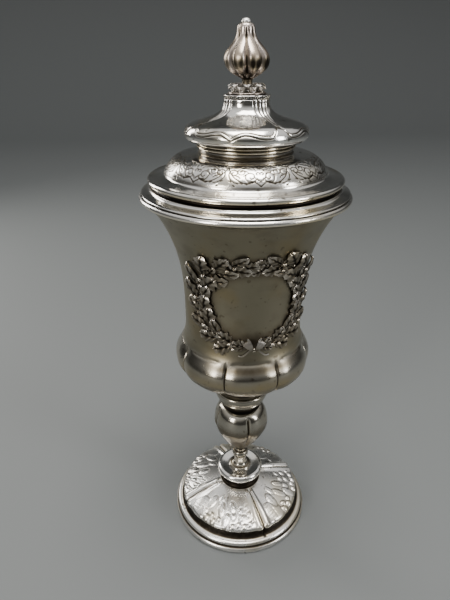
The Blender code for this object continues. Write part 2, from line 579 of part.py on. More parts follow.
def make_lid():
    """Raised lid: skirt, rolled rim, flange, convex band, ringed waist, four-panelled ogee and neck."""
    seat = LID_SEAT
    skirt_top = seat + LID_SKIRT_HEIGHT
    roll_base = ROLL_MIDDLE - 0.5 * LID_ROLL_THICKNESS
    undercut = LID_SKIRT_RADIUS - LID_UNDERCUT
    skirt_edge = (LID_SEAT_RADIUS, seat + 0.25 * LID_SKIRT_HEIGHT)
    skirt = [(LID_SEAT_RADIUS, seat), skirt_edge]
    skirt += curve(skirt_edge, (LID_SKIRT_RADIUS + 0.5 * LID_SKIRT_INSET, seat + 0.4 * LID_SKIRT_HEIGHT),
                   (LID_SKIRT_RADIUS, seat + 0.7 * LID_SKIRT_HEIGHT), (LID_SKIRT_RADIUS, skirt_top), 2)
    skirt += [(undercut, skirt_top + 0.3 * LID_ROLL_LIFT), (undercut, roll_base)]
    roll = arc((LID_ROLL_RADIUS - 0.6 * LID_ROLL_THICKNESS, ROLL_MIDDLE), 0.6 * LID_ROLL_THICKNESS,
               0.5 * LID_ROLL_THICKNESS, -80.0, 80.0, 2)
    step_radius = FRIEZE_RADIUS + FRIEZE_STEP_HEIGHT
    flange = [(step_radius, FLANGE_TOP), (FRIEZE_RADIUS, FRIEZE_FOOT)]
    frieze_reach = FRIEZE_RADIUS - FRIEZE_TOP_RADIUS
    frieze = curve((FRIEZE_RADIUS, FRIEZE_FOOT),
                   (FRIEZE_RADIUS - 0.1 * frieze_reach, FRIEZE_FOOT + 0.5 * FRIEZE_HEIGHT),
                   (FRIEZE_TOP_RADIUS + 0.4 * frieze_reach, FRIEZE_TOP - 0.05 * FRIEZE_HEIGHT),
                   (FRIEZE_TOP_RADIUS, FRIEZE_TOP), 3)
    waist = [(WAIST_RING_RADIUS, WAIST_BASE), (WAIST_RADIUS, WAIST_BASE + 0.35 * WAIST_HEIGHT)]
    waist += [(WAIST_RADIUS, RING_BASE), (WAIST_RING_RADIUS, RING_BASE + 0.3 * WAIST_RING_HEIGHT)]
    waist += [(WAIST_RING_RADIUS, OGEE_BASE)]
    below_edge = [(OGEE_RADIUS - 0.3 * OGEE_LOWER_HEIGHT, OGEE_BASE + 0.25 * OGEE_LOWER_HEIGHT)]
    edge = [(OGEE_RADIUS, OGEE_EDGE), (OGEE_RADIUS - BRACKET_STEP, OGEE_EDGE + BRACKET_STEP)]
    ogee_reach = OGEE_RADIUS - NECK_RADIUS
    ogee = curve((OGEE_RADIUS - BRACKET_STEP, OGEE_EDGE + BRACKET_STEP),
                 (OGEE_RADIUS - 0.25 * ogee_reach, OGEE_EDGE + 0.50 * OGEE_UPPER_HEIGHT),
                 (NECK_RADIUS, OGEE_EDGE + 0.40 * OGEE_UPPER_HEIGHT),
                 (NECK_RADIUS, LID_TOP - 0.1 * OGEE_UPPER_HEIGHT), 4)

    def bracketed(radius, height, angle):
        return radius, height + BRACKET_WAVE * bracket_wave(angle)

    def panelled(radius, height, angle):
        dent = OGEE_CREASE_DEPTH * crease(angle, PANELS, LID_CREASE_ANGLE)
        share = (radius - NECK_RADIUS) / ogee_reach
        wave = BRACKET_WAVE * bracket_wave(angle) * max(0.0, share) ** 3
        return radius - 0.5 * dent, height + wave - 0.4 * dent

    bezel_foot = seat - BEZEL_DEPTH
    bezel_radius = wall_radius(bezel_foot) - BOWL_WALL - BEZEL_CLEARANCE
    hollow_radius = undercut - LID_WALL
    bezel_inside = bezel_radius - LID_WALL
    core = [(FRIEZE_RADIUS, FRIEZE_FOOT), frieze[0], frieze[2], waist[1], waist[2], edge[0], ogee[1], ogee[2]]
    room = inward(core, LID_WALL + OGEE_CREASE_DEPTH)
    room_top = LID_TOP - LID_WALL
    inside = [(0.0, room_top), (NECK_RADIUS - LID_WALL - OGEE_CREASE_DEPTH, room_top)]
    inside += list(reversed(room))
    inside += [(hollow_radius, ROLL_MIDDLE), (hollow_radius, seat + LID_WALL)]
    inside += [(bezel_inside, seat), (bezel_inside, bezel_foot), (bezel_radius, bezel_foot)]
    inside += [(bezel_radius, seat)]
    stretches = [
        (inside, LID_SIDES // 2, unchanged),
        (skirt + roll + flange + frieze + waist + below_edge, LID_SIDES, unchanged),
        (edge, LID_SIDES, bracketed),
        (ogee, LID_SIDES, panelled),
        ([(NECK_RADIUS, LID_TOP)], LID_SIDES // 2, unchanged),
        ([(0.0, LID_TOP)], 1, unchanged),
    ]
    return turned("lid", stretches, metal("lid_silver", SILVER, 0.18), LID_CREASE_ANGLE)


def make_disk():
    """Thin disk with a milled edge."""
    rim = [(DISK_RADIUS, DISK_BASE + 0.25 * DISK_HEIGHT), (DISK_RADIUS, DISK_BASE + 0.9 * DISK_HEIGHT)]

    def milled(radius, height, angle):
        cut = 0.5 - 0.5 * math.cos(DISK_CUTS * angle)
        return radius - DISK_CUT_DEPTH * cut, height

    inner = DISK_RADIUS - 2.0 * DISK_CUT_DEPTH
    stretches = [
        ([(0.0, DISK_BASE), (inner, DISK_BASE)], DISK_CUTS, unchanged),
        (rim, 2 * DISK_CUTS, milled),
        ([(inner, DISK_BASE + DISK_HEIGHT), (0.0, DISK_BASE + DISK_HEIGHT)], DISK_CUTS, unchanged),
    ]
    return turned("finial_disk", stretches, metal("disk_silver", SILVER, 0.24), sharp_angle=30.0)


def make_finial():
    """Cast finial: two tiers of curled leaves and a closed bud of eight lobes with a button on top."""
    base = FINIAL_BASE
    neck = base + BUD_NECK_HEIGHT
    belly = neck + BUD_BELLY_HEIGHT
    taper = belly + BUD_TAPER_HEIGHT
    top = taper + BUTTON_HEIGHT

    def calyx(radius, height, angle):
        tall = 0.5 - 0.5 * math.cos(LEAVES_PER_TIER * (angle - BUD_CREASE_ANGLE))
        short = 1.0 - tall
        share = (radius - BUD_NECK_RADIUS) / (CALYX_RADIUS - BUD_NECK_RADIUS)
        if share > 0.62:
            return radius + 0.12 * CALYX_RADIUS * (short - 0.5), height + SHORT_LEAF_HEIGHT * short
        return radius + 0.16 * TALL_LEAF_RADIUS * (tall - 0.5), height + 0.6 * TALL_LEAF_HEIGHT * tall

    foot = [(0.0, base), (CALYX_RADIUS, base), (CALYX_RADIUS, base + CALYX_RIM_HEIGHT)]
    short_tier = [(0.92 * CALYX_RADIUS, base + CALYX_RIM_HEIGHT + 0.1 * SHORT_LEAF_HEIGHT),
                  (0.77 * CALYX_RADIUS, base + CALYX_RIM_HEIGHT + 0.1 * SHORT_LEAF_HEIGHT)]
    tall_tier = [(TALL_LEAF_RADIUS, base + CALYX_RIM_HEIGHT + 0.35 * TALL_LEAF_HEIGHT),
                 (0.78 * TALL_LEAF_RADIUS, base + CALYX_RIM_HEIGHT + 0.38 * TALL_LEAF_HEIGHT)]
    hollow = [(BUD_NECK_RADIUS + 0.1 * TALL_LEAF_RADIUS, base + CALYX_RIM_HEIGHT + 0.5 * TALL_LEAF_HEIGHT)]

    def lobed(radius, height, angle):
        share = min(1.0, max(0.0, (height - neck) / (belly - neck)))
        crease_share = 0.5 + 0.5 * math.cos(BUD_LOBES * (angle - BUD_CREASE_ANGLE))
        dent = BUD_CREASE_DEPTH * share * crease_share * radius / BUD_RADIUS
        return radius - dent, height

    bud = [(BUD_NECK_RADIUS, neck)]
    bud += curve((BUD_NECK_RADIUS, neck), (0.45 * BUD_RADIUS, neck + 0.25 * BUD_BELLY_HEIGHT),
                 (BUD_RADIUS, neck + 0.45 * BUD_BELLY_HEIGHT), (BUD_RADIUS, belly), 4)
    bud += curve((BUD_RADIUS, belly), (BUD_RADIUS, belly + 0.33 * BUD_TAPER_HEIGHT),
                 (1.1 * BUD_TIP_RADIUS, belly + 0.45 * BUD_TAPER_HEIGHT), (BUD_TIP_RADIUS, taper), 4)
    button = [(0.65 * BUTTON_RADIUS, top - 0.65 * BUTTON_HEIGHT), (BUTTON_RADIUS, top - 0.35 * BUTTON_HEIGHT)]
    button += [(0.8 * BUTTON_RADIUS, top - 0.08 * BUTTON_HEIGHT), (0.0, top)]
    stretches = [
        (foot, CALYX_SIDES, unchanged),
        (short_tier + tall_tier + hollow, CALYX_SIDES, calyx),
        (bud, BUD_SIDES, lobed),
        (button, BUD_SIDES, unchanged),
    ]
    item = turned("finial", stretches, metal("finial_silver", SILVER, 0.22), BUD_CREASE_ANGLE)
    for point in item.data.vertices:
        rise = max(0.0, point.co.z - neck)
        point.co.x -= rise * math.tan(FINIAL_LEAN)
    return item


def main():
    """Make every piece of the goblet."""
    clear_scene()
    make_foot()
    make_boss()
    make_stem()
    make_bowl()
    make_wreath()
    make_lid()
    make_disk()
    make_finial()


main()
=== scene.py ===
"""Looks of the silver-plated lidded goblet, laid out as an add-on and run as a script."""
import math

import bpy
import numpy as np
from bpy.props import FloatProperty, FloatVectorProperty, IntProperty, PointerProperty
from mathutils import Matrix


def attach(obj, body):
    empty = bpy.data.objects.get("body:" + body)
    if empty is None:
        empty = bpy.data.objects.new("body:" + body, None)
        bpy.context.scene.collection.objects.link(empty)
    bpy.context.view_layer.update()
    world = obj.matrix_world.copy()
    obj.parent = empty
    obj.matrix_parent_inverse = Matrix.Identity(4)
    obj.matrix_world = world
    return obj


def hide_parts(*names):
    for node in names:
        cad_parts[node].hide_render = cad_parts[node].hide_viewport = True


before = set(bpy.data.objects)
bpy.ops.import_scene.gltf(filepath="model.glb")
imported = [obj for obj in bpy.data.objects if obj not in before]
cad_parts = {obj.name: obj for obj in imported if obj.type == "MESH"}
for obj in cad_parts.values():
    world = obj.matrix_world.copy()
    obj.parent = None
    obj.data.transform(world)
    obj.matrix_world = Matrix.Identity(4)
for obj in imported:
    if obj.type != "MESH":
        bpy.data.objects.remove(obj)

bl_info = {
    "name": "Silver goblet",
    "version": (1, 0, 0),
    "blender": (4, 5, 0),
    "location": "View3D > Sidebar > Goblet",
    "description": "Dresses the lidded goblet with its chased, engraved and cast surfaces",
    "category": "Object",
}

MM = 0.001
TURN = 2.0 * math.pi
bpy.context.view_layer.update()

# Turn of each lobed form about the axis, in degrees from the front
FOOT_CREASE = 15.0
KNOP_CREASE = 9.0
BULB_CREASE = 21.0
LID_CREASE = 22.5
BUD_CREASE = -10.0
REED_TURN = 24.5
PANELS = 4
BULB_LOBES = 8
BUD_LOBES = 8
BUD_LEAN = 2.4
PANEL_ANGLE = TURN / PANELS

# Bowl's wall, which the wreath follows; heights and radii in millimetres
WALL_RADIUS = 32.4
FLARE_START = 150.2
FLARE_HEIGHT = 67.0
FLARE_REACH = 18.2
FLARE_POWER = 2.9
BULB_TOP = 138.0
BULB_TOP_STEP = 1.0
BULB_TOP_BLEND = 6.0

# Wreath's path, in millimetres along the wall and up it
WREATH_MIDDLE = 169.0
WREATH_HALF_WIDTH = 29.8
WREATH_HALF_HEIGHT = 23.2
WREATH_SQUARENESS = 2.25

# Fine height of the plate's scratches and dents: share of the scratches, share of the bump and its height
SCRATCHES = 0.4
BUMP_SHARE = 0.35
BUMP_HEIGHT = 0.1

# Lid's band and brackets
BAND_REPEATS = 8
BAND_RADIUS = 36.0
BAND_REACH = 12.6
BRACKET_HEIGHT = 246.8

# Camera as fitted to the rings of the foot, bowl and lid
CAMERA_PLACE = (-0.04175, -0.2395, 0.2804)
CAMERA_PITCH = 27.04
CAMERA_YAW = -7.5
CAMERA_LENS = 29.16
SENSOR = 36.0


def length(name, description, default):
    """A length that a user can set, given in millimetres."""
    return FloatProperty(name=name, description=description, default=default * MM, min=0.0,
                         unit="LENGTH", subtype="DISTANCE", precision=5)


def colour(name, description, default):
    """A colour that a user can set."""
    return FloatVectorProperty(name=name, description=description, default=default, size=3, min=0.0, max=1.0,
                               subtype="COLOR")


def share(name, description, default):
    """A share from 0 to 1 that a user can set."""
    return FloatProperty(name=name, description=description, default=default, min=0.0, max=1.0,
                         subtype="FACTOR")


class GobletShape(bpy.types.PropertyGroup):
    """Sizes of the relief that the pieces carry."""

    foot_crease: length("Foot crease depth", "Depth of the creases between the foot's panels", 0.8)
    fruit: length("Fruit radius", "Radius of the chased fruit on the foot", 2.7)
    fruit_rise: length("Fruit rise", "Height of the chased fruit over the panel", 0.95)
    knop_crease: length("Knop crease depth", "Depth of the creases of the knop", 1.3)
    bulb_crease: length("Bulb crease depth", "Depth of the creases of the bowl's bulb", 1.5)
    engraving: length("Engraving width", "Width of a cut of the lid's engraving", 0.36)
    bracket_groove: length("Bracket groove width", "Width of the bracket grooves of the lid's dome", 0.5)
    leaf: length("Leaf length", "Length of a leaf of the wreath", 11.5)
    berry: length("Berry radius", "Radius of a berry of the wreath", 1.0)
    milling: length("Milling depth", "Depth of the cuts of the disk's edge", 0.42)
    bud_crease: length("Bud crease depth", "Depth of the creases of the bud", 2.1)
    leaf_stations: IntProperty(name="Leaf stations", description="Pairs of leaves on each half of the wreath",
                               default=10, min=4, max=40)
    milling_cuts: IntProperty(name="Milling cuts", description="Cuts round the disk's edge",
                              default=64, min=12)


class GobletFinish(bpy.types.PropertyGroup):
    """Colours and polish of the plated surfaces."""

    silver: colour("Silver", "Clean plated surface", (0.87, 0.845, 0.80))
    satin: colour("Satin silver", "Brushed wall of the bowl", (0.265, 0.24, 0.172))
    # The bulb colour is a darker copy of the plate: painted shade on the bulb and stem.
    bulb: colour("Bulb silver", "Darkened bulb and stem", (0.40, 0.372, 0.315))
    cast: colour("Cast silver", "Cast leaves of the wreath", (0.64, 0.59, 0.53))
    bronzed: colour("Darkened silver", "Cast finial, toned by wear", (0.50, 0.435, 0.39))
    # The button colour is a lighter copy of the plate; on the curled leaves of the finial it is a painted
    # highlight.
    button: colour("Button silver", "Lightened button and curled leaves", (0.80, 0.78, 0.75))
    # The warm tint also paints warm highlights: a band round the bulb and the tops of the foot's fruit.
    warm: colour("Warm tint", "Tint of plate worn thin over the base metal", (1.0, 0.86, 0.56))
    # Near black and brown, mixed in by the darkening mask: painted shade in creases, grooves, gaps, under
    # overhangs and on the backs of leaves, as well as patina.
    tarnish: colour("Tarnish", "Dark tarnish in recesses", (0.020, 0.016, 0.012))
    brown: colour("Brown tarnish", "Half-dark tarnish around recesses", (0.15, 0.125, 0.085))
    floor: colour("Floor", "Pale floor", (0.122, 0.129, 0.127))
    polish: share("Polished roughness", "Roughness of the polished plate", 0.13)
    satin_polish: share("Satin roughness", "Roughness of the bowl's wall", 0.40)
    cast_polish: share("Cast roughness", "Roughness of the cast leaves", 0.19)


def shape_size(name):
    """A size of the relief in millimetres."""
    return getattr(bpy.context.scene.goblet_shape, name) / MM


def finish_value(name):
    """A colour or a polish that is set in the panel."""
    value = getattr(bpy.context.scene.goblet_finish, name)
    return value if isinstance(value, float) else tuple(value)


def smooth(value, low, high):
    """0 below low, 1 above high and an even rise between them."""
    part = np.clip((value - low) / (high - low), 0.0, 1.0)
    return part * part * (3.0 - 2.0 * part)


def bump(value, width):
    """1 at 0, falling evenly to almost nothing at the width."""
    return np.exp(-(value / (0.55 * width)) ** 2)


def line(start, end, spacing):
    """Points of a straight run, with its first point."""
    steps = max(1, round(math.dist(start, end) / spacing))
    along = np.linspace(0.0, 1.0, steps + 1)[:, None]
    return np.array(start) * (1.0 - along) + np.array(end) * along


def cubic(start, leaving, arriving, end, spacing):
    """Points of a cubic curve, with its first point."""
    corners = [np.array(corner, float) for corner in (start, leaving, arriving, end)]
    reach = sum(np.linalg.norm(far - near) for near, far in zip(corners[:-1], corners[1:]))
    along = np.linspace(0.0, 1.0, max(2, round(reach / spacing)) + 1)[:, None]
    rest = 1.0 - along
    return (rest ** 3 * corners[0] + 3.0 * along * rest ** 2 * corners[1]
            + 3.0 * along ** 2 * rest * corners[2] + along ** 3 * corners[3])


def arc(centre, width, height, first, last, steps):
    """Points of an elliptic arc in a profile; 0 degrees points outward and 90 up."""
    angles = np.radians(np.linspace(first, last, steps + 1))
    return np.column_stack([centre[0] + width * np.cos(angles), centre[1] + height * np.sin(angles)])


def profile(start, *runs):
    """Points of an outline; a run is its two handles, end and spacing, or end and spacing if straight."""
    points = np.array([start], float)
    for *handles, end, spacing in runs:
        here = tuple(points[-1])
        run = cubic(here, *handles, end, spacing) if handles else line(here, end, spacing)
        points = np.concatenate([points, run[1:]])
    return points


def join_runs(*runs):
    """One profile from runs, without the points that repeat where two runs meet."""
    points = [runs[0]]
    for run in runs[1:]:
        skip = 1 if np.allclose(run[0], points[-1][-1], atol=1e-6) else 0
        points.append(run[skip:])
    return np.concatenate(points)


def make_piece(name, points, faces, masks, material, sharp_angle=60.0):
    """A mesh object from points in millimetres, with its masks as attributes."""
    mesh = bpy.data.meshes.new(name)
    mesh.from_pydata((np.asarray(points) * MM).tolist(), [], faces)
    for label, values in masks.items():
        attribute = mesh.attributes.new(label, "FLOAT", "POINT")
        attribute.data.foreach_set("value", np.asarray(values, np.float32))
    mesh.materials.append(material)
    mesh.shade_smooth()
    mesh.set_sharp_from_angle(angle=math.radians(sharp_angle))
    mesh.validate()
    piece = bpy.data.objects.new(name, mesh)
    bpy.context.scene.collection.objects.link(piece)
    return piece


def place_piece(piece, node):
    """The finished piece rides on the goblet's body and stands for a solid."""
    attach(piece, "root")
    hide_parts(node)


# Masks: darkening (painted shade and patina), warm tint (wear and painted warm highlight), satin finish, and
# the darker bulb colour (painted shade).
MASKS = ("recess", "wear", "satin", "toned")


def even(**masks):
    """Relief of a turned surface that is smooth and evenly toned."""
    return lambda radius, height, angle: masks


def turned_rows(stretches, start):
    """Points, row sizes and masks of turned stretches: an outline, its columns and its relief each."""
    points, rows, masks = [], [], {label: [] for label in MASKS}
    for outline, columns, relief in stretches:
        along = np.gradient(outline, axis=0)
        along /= np.maximum(np.linalg.norm(along, axis=1), 1e-9)[:, None]
        angle = math.radians(start) + TURN * np.arange(columns) / columns
        radius = np.repeat(outline[:, :1], columns, axis=1)
        height = np.repeat(outline[:, 1:], columns, axis=1)
        angles = np.repeat(angle[None], len(outline), axis=0)
        change = relief(radius, height, angles)
        push = change.get("push", 0.0) * np.ones_like(radius)
        reach = radius + push * along[:, 1][:, None]
        level = height - push * along[:, 0][:, None] + change.get("lift", 0.0)
        ring = np.stack([reach * np.sin(angles), -reach * np.cos(angles), level], axis=2)
        shades = {label: change.get(label, 0.0) * np.ones_like(radius) for label in MASKS}
        for row in range(len(outline)):
            count = 1 if outline[row, 0] == 0.0 else columns
            points.append(ring[row, :count])
            rows.append(count)
            for label in MASKS:
                masks[label].append(shades[label][row, :count])
    return np.concatenate(points), rows, {label: np.concatenate(values) for label, values in masks.items()}


def band_faces(first_below, below, first_above, above):
    """Faces between two rows, where one count is a multiple of the other."""
    count = max(below, above)
    step = np.arange(count)
    after = (step + 1) % count
    corners = np.column_stack([first_below + step * below // count, first_below + after * below // count,
                               first_above + after * above // count, first_above + step * above // count])
    if below == above:
        return corners.tolist()
    return [list(dict.fromkeys(face)) for face in corners.tolist()]


def rows_faces(rows):
    """Faces between all the rows of a turned surface."""
    faces, first = [], 0
    for below, above in zip(rows[:-1], rows[1:]):
        faces += band_faces(first, below, first + below, above)
        first += below
    return faces


def turned(name, stretches, material, start=0.0, sharp_angle=60.0):
    """A closed turned piece with relief."""
    points, rows, masks = turned_rows(stretches, start)
    return make_piece(name, points, rows_faces(rows), masks, material, sharp_angle)


def crease_distance(radius, angle, count, turn):
    """Signed way along the surface, in millimetres, to the nearest of the evenly spaced creases."""
    pitch = TURN / count
    off = (angle - math.radians(turn) + 0.5 * pitch) % pitch - 0.5 * pitch
    return radius * off


def add_node(tree, kind, **settings):
    """A node with its settings; a setting that starts with a capital fills the socket of that name."""
    node = tree.nodes.new(kind)
    for name, value in settings.items():
        if name[0].isupper():
            node.inputs[name].default_value = value
        else:
            setattr(node, name, value)
    return node


def math_step(tree, operation, first, second=None, clamp=False):
    """A Math node; each input is a number or a socket."""
    node = add_node(tree, "ShaderNodeMath", operation=operation, use_clamp=clamp)
    for place, value in enumerate((first, second)):
        if value is None:
            continue
        if isinstance(value, (int, float)):
            node.inputs[place].default_value = value
        else:
            tree.links.new(value, node.inputs[place])
    return node.outputs[0]


def mix_colours(tree, factor, first, second, blend="MIX"):
    """A colour mix; each input is a colour or a socket."""
    node = add_node(tree, "ShaderNodeMix", data_type="RGBA", blend_type=blend)
    for socket, value in ((node.inputs[0], factor), (node.inputs[6], first), (node.inputs[7], second)):
        if hasattr(value, "links"):
            tree.links.new(value, socket)
        elif isinstance(value, (int, float)):
            socket.default_value = value
        else:
            socket.default_value = (*value, 1.0)
    return node.outputs[2]


def noise(tree, vector, scale, detail, stretch=None):
    """Noise at a scale; a stretch squeezes it along the axes."""
    if stretch:
        mapping = add_node(tree, "ShaderNodeMapping", Scale=stretch)
        tree.links.new(vector, mapping.inputs["Vector"])
        vector = mapping.outputs[0]
    node = add_node(tree, "ShaderNodeTexNoise", Scale=scale, Detail=detail)
    tree.links.new(vector, node.inputs["Vector"])
    return node.outputs[0]


def ramp(tree, value, low, high):
    """0 below low and 1 above high, with an even rise."""
    limits = {"From Min": low, "From Max": high}
    node = add_node(tree, "ShaderNodeMapRange", interpolation_type="SMOOTHSTEP", **limits)
    tree.links.new(value, node.inputs["Value"])
    return node.outputs[0]


# Chased forms of a foot panel: kind, side share, way out, half width, half length, lean, share of the rise;
# the half sizes are drawn for a fruit of DRAWN_FRUIT
DRAWN_FRUIT = 2.3
PANEL_SEAT = 13.0
CHASED_FORMS = (
    ("leaf", -0.60, 20.8, 4.6, 6.6, -0.55, 0.75), ("fruit", -0.33, 23.4, 1.8, 1.8, 0.0, 0.85),
    ("fruit", -0.24, 20.9, 1.5, 1.5, 0.0, 0.7), ("fruit", -0.15, 23.6, 1.7, 1.7, 0.0, 0.85),
    ("fruit", -0.05, 21.6, 1.4, 1.4, 0.0, 0.7), ("fruit", 0.30, 23.8, 1.6, 1.6, 0.0, 0.85),
    ("fruit", 0.43, 22.6, 1.6, 1.6, 0.0, 0.8), ("fruit", 0.56, 23.5, 1.6, 1.6, 0.0, 0.85),
    ("fruit", 0.70, 22.3, 1.5, 1.5, 0.0, 0.75), ("fruit", 0.82, 20.4, 1.4, 1.4, 0.0, 0.7),
    ("leaf", 0.14, 21.0, 2.2, 3.8, 0.1, 0.5), ("fruit", 0.30, 18.2, 1.7, 2.3, 0.4, 0.55),
    ("fruit", 0.52, 18.6, 1.6, 2.0, -0.3, 0.6), ("fruit", 0.72, 16.6, 1.5, 1.9, 0.3, 0.6),
    ("fruit", 0.48, 14.6, 1.4, 1.9, 0.2, 0.55), ("leaf", -0.06, 15.4, 2.0, 4.2, 0.25, 0.5),
    ("leaf", 0.24, 12.6, 1.7, 3.4, 0.5, 0.45), ("leaf", -0.44, 14.4, 2.0, 4.6, -0.45, 0.4),
    ("fruit", 0.66, 12.2, 1.2, 1.5, 0.0, 0.45), ("leaf", -0.20, 9.6, 1.4, 3.2, -0.2, 0.35))


def plate_group():
    """Shared look of worn silver plate: its colour, roughness and fine height; the darkening input paints
    shade as well as patina, and the wear input paints warm highlights as well as wear.
    """
    group = bpy.data.node_groups.new("Worn plate", "ShaderNodeTree")
    sockets = (("INPUT", "Float", ("Recess", "Wear", "Roughness", "Smudge", "Scratch")),
               ("INPUT", "Color", ("Plate", "Warm", "Brown", "Tarnish")),
               ("OUTPUT", "Color", ("Colour",)), ("OUTPUT", "Float", ("Roughness", "Height")))
    for way, kind, names in sockets:
        for name in names:
            group.interface.new_socket(name, in_out=way, socket_type="NodeSocket" + kind)
    given = group.nodes.new("NodeGroupInput").outputs
    result = group.nodes.new("NodeGroupOutput").inputs
    place = group.nodes.new("ShaderNodeTexCoord").outputs["Object"]
    cloud = noise(group, place, 38.0, 4.0)
    haze = noise(group, place, 70.0, 5.0, (1.0, 1.0, 1.6))
    speck = noise(group, place, 420.0, 3.0)
    spots = noise(group, place, 330.0, 1.0)
    scratch = noise(group, place, 900.0, 2.0, (1.0, 1.0, 0.06))
    cross = noise(group, place, 900.0, 2.0, (0.08, 1.0, 1.0))
    recess = math_step(group, "MULTIPLY", given["Recess"], math_step(group, "ADD", 0.80, math_step(
        group, "MULTIPLY", speck, 0.40)), clamp=True)
    warm = math_step(group, "MULTIPLY", ramp(group, cloud, 0.47, 0.68), 0.45)
    # The wear input adds warm tint for real wear and for painted warm highlights.
    warm = math_step(group, "ADD", warm, given["Wear"], clamp=True)
    dull = math_step(group, "MULTIPLY", ramp(group, haze, 0.46, 0.74), 0.40)
    spotted = math_step(group, "MULTIPLY", ramp(group, spots, 0.68, 0.74), 0.75)
    base = mix_colours(group, warm, given["Plate"], given["Warm"], "MULTIPLY")
    base = mix_colours(group, dull, base, given["Brown"])
    base = mix_colours(group, spotted, base, given["Brown"])
    # Brown, then near black where the darkening mask is strong: painted shade as well as patina.
    base = mix_colours(group, ramp(group, recess, 0.05, 0.60), base, given["Brown"])
    base = mix_colours(group, ramp(group, recess, 0.45, 0.85), base, given["Tarnish"])
    group.links.new(base, result["Colour"])
    rub = math_step(group, "MULTIPLY", math_step(group, "SUBTRACT", cloud, 0.42), given["Smudge"])
    rub = math_step(group, "ADD", rub, math_step(group, "MULTIPLY", recess, 0.30))
    group.links.new(math_step(group, "ADD", given["Roughness"], rub, clamp=True), result["Roughness"])
    lines = math_step(group, "ADD", ramp(group, scratch, 0.66, 0.74), ramp(group, cross, 0.68, 0.76))
    dents = math_step(group, "MULTIPLY", noise(group, place, 95.0, 2.0), 1.8)
    group.links.new(math_step(group, "ADD", math_step(group, "MULTIPLY", lines, given["Scratch"]), dents),
                    result["Height"])
    return group


def mask_value(tree, label):
    """The value of one of the piece's masks."""
    return add_node(tree, "ShaderNodeAttribute", attribute_name=label).outputs["Fac"]


def plate_material(name, plate, polish, smudge=0.12, satin=None):
    """Silver plate with its colour, polish and wear; satin is the colour and polish where that mask is 1."""
    material = bpy.data.materials.new(name)
    material.use_nodes = True
    tree = material.node_tree
    link = tree.links.new
    shader = tree.nodes["Principled BSDF"]
    shader.inputs["Metallic"].default_value = 1.0
    group = tree.nodes.new("ShaderNodeGroup")
    group.node_tree = bpy.data.node_groups.get("Worn plate") or plate_group()
    for label in ("Recess", "Wear"):
        link(mask_value(tree, label.lower()), group.inputs[label])
    for label in ("Warm", "Brown", "Tarnish"):
        group.inputs[label].default_value = (*finish_value(label.lower()), 1.0)
    group.inputs["Smudge"].default_value = smudge
    group.inputs["Scratch"].default_value = SCRATCHES
    if satin is None:
        group.inputs["Plate"].default_value = (*plate, 1.0)
        group.inputs["Roughness"].default_value = polish
    else:
        mask = mask_value(tree, "satin")
        # Below the bulb's top the plate takes the darker bulb colour: painted shade.
        clean = mix_colours(tree, mask_value(tree, "toned"), plate, finish_value("bulb"))
        link(mix_colours(tree, mask, clean, satin[0]), group.inputs["Plate"])
        rise = math_step(tree, "MULTIPLY", mask, satin[1] - polish)
        link(math_step(tree, "ADD", rise, polish), group.inputs["Roughness"])
    link(group.outputs["Colour"], shader.inputs["Base Color"])
    link(group.outputs["Roughness"], shader.inputs["Roughness"])
    bump_node = add_node(tree, "ShaderNodeBump", Strength=BUMP_SHARE, Distance=BUMP_HEIGHT * MM)
    link(group.outputs["Height"], bump_node.inputs["Height"])
    link(bump_node.outputs[0], shader.inputs["Normal"])
    return material


def chased_form(across, away, width, tall, lean, kind):
    """Height share of one chased fruit or leaf, and how far out of it a point lies."""
    side = across * math.cos(lean) - away * math.sin(lean)
    tip = across * math.sin(lean) + away * math.cos(lean)
    span = np.hypot(side / width, tip / tall)
    inside = np.clip(1.0 - span ** 2, 0.0, 1.0)
    form = inside ** 0.7
    if kind == "leaf":
        vein = bump(side - 0.10 * tip, 0.6) * inside
        ribs = (0.5 + 0.5 * np.cos(TURN * (tip - 0.9 * np.abs(side)) / 2.3)) * inside
        form = 0.95 * form - 0.22 * vein - 0.12 * ribs
    else:
        form = form - 0.22 * bump(np.hypot(side + 0.2 * width, tip), 0.6)
    return form, span


def chased_fruit(across, out):
    """Height and outlines of a panel's chased fruit and leaves, across it and out from the seat."""
    fruit = shape_size("fruit") / DRAWN_FRUIT
    rise = shape_size("fruit_rise")
    height = np.zeros_like(across)
    outline = np.zeros_like(across)
    for kind, side, way, width, tall, lean, share_up in CHASED_FORMS:
        middle = side * 0.5 * (way + PANEL_SEAT) * PANEL_ANGLE
        form, span = chased_form(across - middle, out - way, fruit * width, fruit * tall, lean, kind)
        inside = span < 0.96
        height = np.where(inside, np.maximum(rise * share_up * form, 0.55 * height), height)
        outline = np.where(inside, 0.25 * outline, np.maximum(outline, bump((span - 1.02) * width, 0.45)))
    return height, outline


